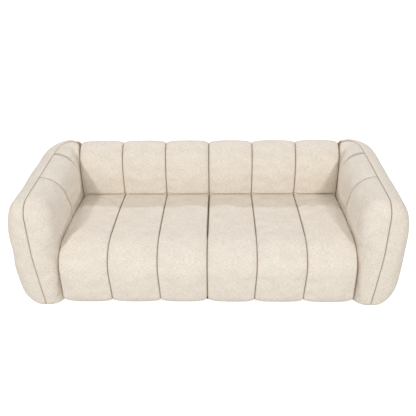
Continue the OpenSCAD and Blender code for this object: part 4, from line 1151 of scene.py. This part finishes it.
class SOFA_OT_stitches(bpy.types.Operator):
    """Sews a row of stitches along the seams of every cover"""
    bl_idname = "sofa.stitches"
    bl_label = "Seam stitches"

    def execute(self, context):
        tree, material = stitch_tree(), thread_material()
        for obj in [o for o in bpy.data.objects if o.type == "MESH" and "sewn" in o.data.attributes]:
            if not obj.name.startswith("arm_outer"):
                sew(obj, tree, material)
        return {"FINISHED"}


class SOFA_OT_foam(bpy.types.Operator):
    """Builds the foam of the seat, the back and the arms"""
    bl_idname = "sofa.foam"
    bl_label = "Foam"

    def execute(self, context):
        for side, _ in SIDES:
            for part in ("seat", "back", "arm"):
                foam_block(f"{part}_foam_block_{side}", f"{part}_foam_{side}", 1.0)
        return {"FINISHED"}


class SOFA_OT_dust_cloth(bpy.types.Operator):
    """Stretches the black dust cloth under the base"""
    bl_idname = "sofa.dust_cloth"
    bl_label = "Dust cloth"

    def execute(self, context):
        obj = copy_of("dust_cover", "dust_cloth", spunbond_cloth())
        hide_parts("dust_cover")
        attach(obj, "root")
        return {"FINISHED"}


class SOFA_OT_finishes(bpy.types.Operator):
    """Gives the timber, panels, springs, webbing, bolts and feet their finishes"""
    bl_idname = "sofa.finishes"
    bl_label = "Frame finishes"

    def execute(self, context):
        for name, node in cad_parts.items():
            if any(word in name for word in ("rail", "block", "post", "spacer")):
                material = planed_softwood(int(np.argmax(node.dimensions)))
            elif "panel" in name or "board" in name:
                material = pressed_hardboard()
            elif "spring" in name or "bolt" in name:
                material = zinc_plated_steel()
            elif name.startswith("foot"):
                material = moulded_black_plastic()
            elif "webbing" in name:
                material = elastic_webbing()
            else:
                material = spunbond_cloth()
            node.data.materials.clear()
            node.data.materials.append(material)
        return {"FINISHED"}


class SOFA_OT_stage(bpy.types.Operator):
    """Adds the floor, the lights, the white background and the camera"""
    bl_idname = "sofa.stage"
    bl_label = "Stage"

    def execute(self, context):
        add_floor()
        add_world()
        add_light("high_behind", (0.1, 3.4, 4.15), (0, 0.1, 0.4), 0.35, 0.2, 62, "#f0f5ff")
        add_light("front_left", (-3.15, -5.6, 5.42), (0, 0, 0.4), 0.6, 0.6, 195, "#ffffff")
        add_light("front_right", (2.55, -6.66, 4.27), (0, 0, 0.4), 0.6, 0.6, 181, "#ffffff")
        add_camera()
        context.scene.view_settings.view_transform = "Standard"
        return {"FINISHED"}


class SOFA_PT_panel(bpy.types.Panel):
    """Sizes, colours and build steps of the sofa"""
    bl_label = "Tuxedo sofa"
    bl_idname = "SOFA_PT_panel"
    bl_space_type = "VIEW_3D"
    bl_region_type = "UI"
    bl_category = "Sofa"

    def draw(self, context):
        layout = self.layout
        for group in (context.scene.sofa_sizes, context.scene.sofa_colours):
            for key in group.bl_rna.properties.keys():
                if key not in ("rna_type", "name"):
                    layout.prop(group, key)
        for cls in STEPS:
            layout.operator(cls.bl_idname)


STEPS = (SOFA_OT_seat_covers, SOFA_OT_back_covers, SOFA_OT_arm_covers, SOFA_OT_corner_covers,
         SOFA_OT_outer_back, SOFA_OT_stitches, SOFA_OT_foam, SOFA_OT_dust_cloth, SOFA_OT_finishes, SOFA_OT_stage)
CLASSES = (SofaSizes, SofaColours) + STEPS + (SOFA_PT_panel,)


def register():
    for cls in CLASSES:
        bpy.utils.register_class(cls)
    bpy.types.Scene.sofa_sizes = bpy.props.PointerProperty(type=SofaSizes)
    bpy.types.Scene.sofa_colours = bpy.props.PointerProperty(type=SofaColours)


def unregister():
    del bpy.types.Scene.sofa_colours
    del bpy.types.Scene.sofa_sizes
    for cls in reversed(CLASSES):
        bpy.utils.unregister_class(cls)


def main():
    register()
    bpy.ops.sofa.seat_covers()
    bpy.ops.sofa.back_covers()
    bpy.ops.sofa.arm_covers()
    bpy.ops.sofa.corner_covers()
    bpy.ops.sofa.outer_back()
    bpy.ops.sofa.stitches()
    bpy.ops.sofa.foam()
    bpy.ops.sofa.dust_cloth()
    bpy.ops.sofa.finishes()
    bpy.ops.sofa.stage()


if __name__ == "__main__":
    main()
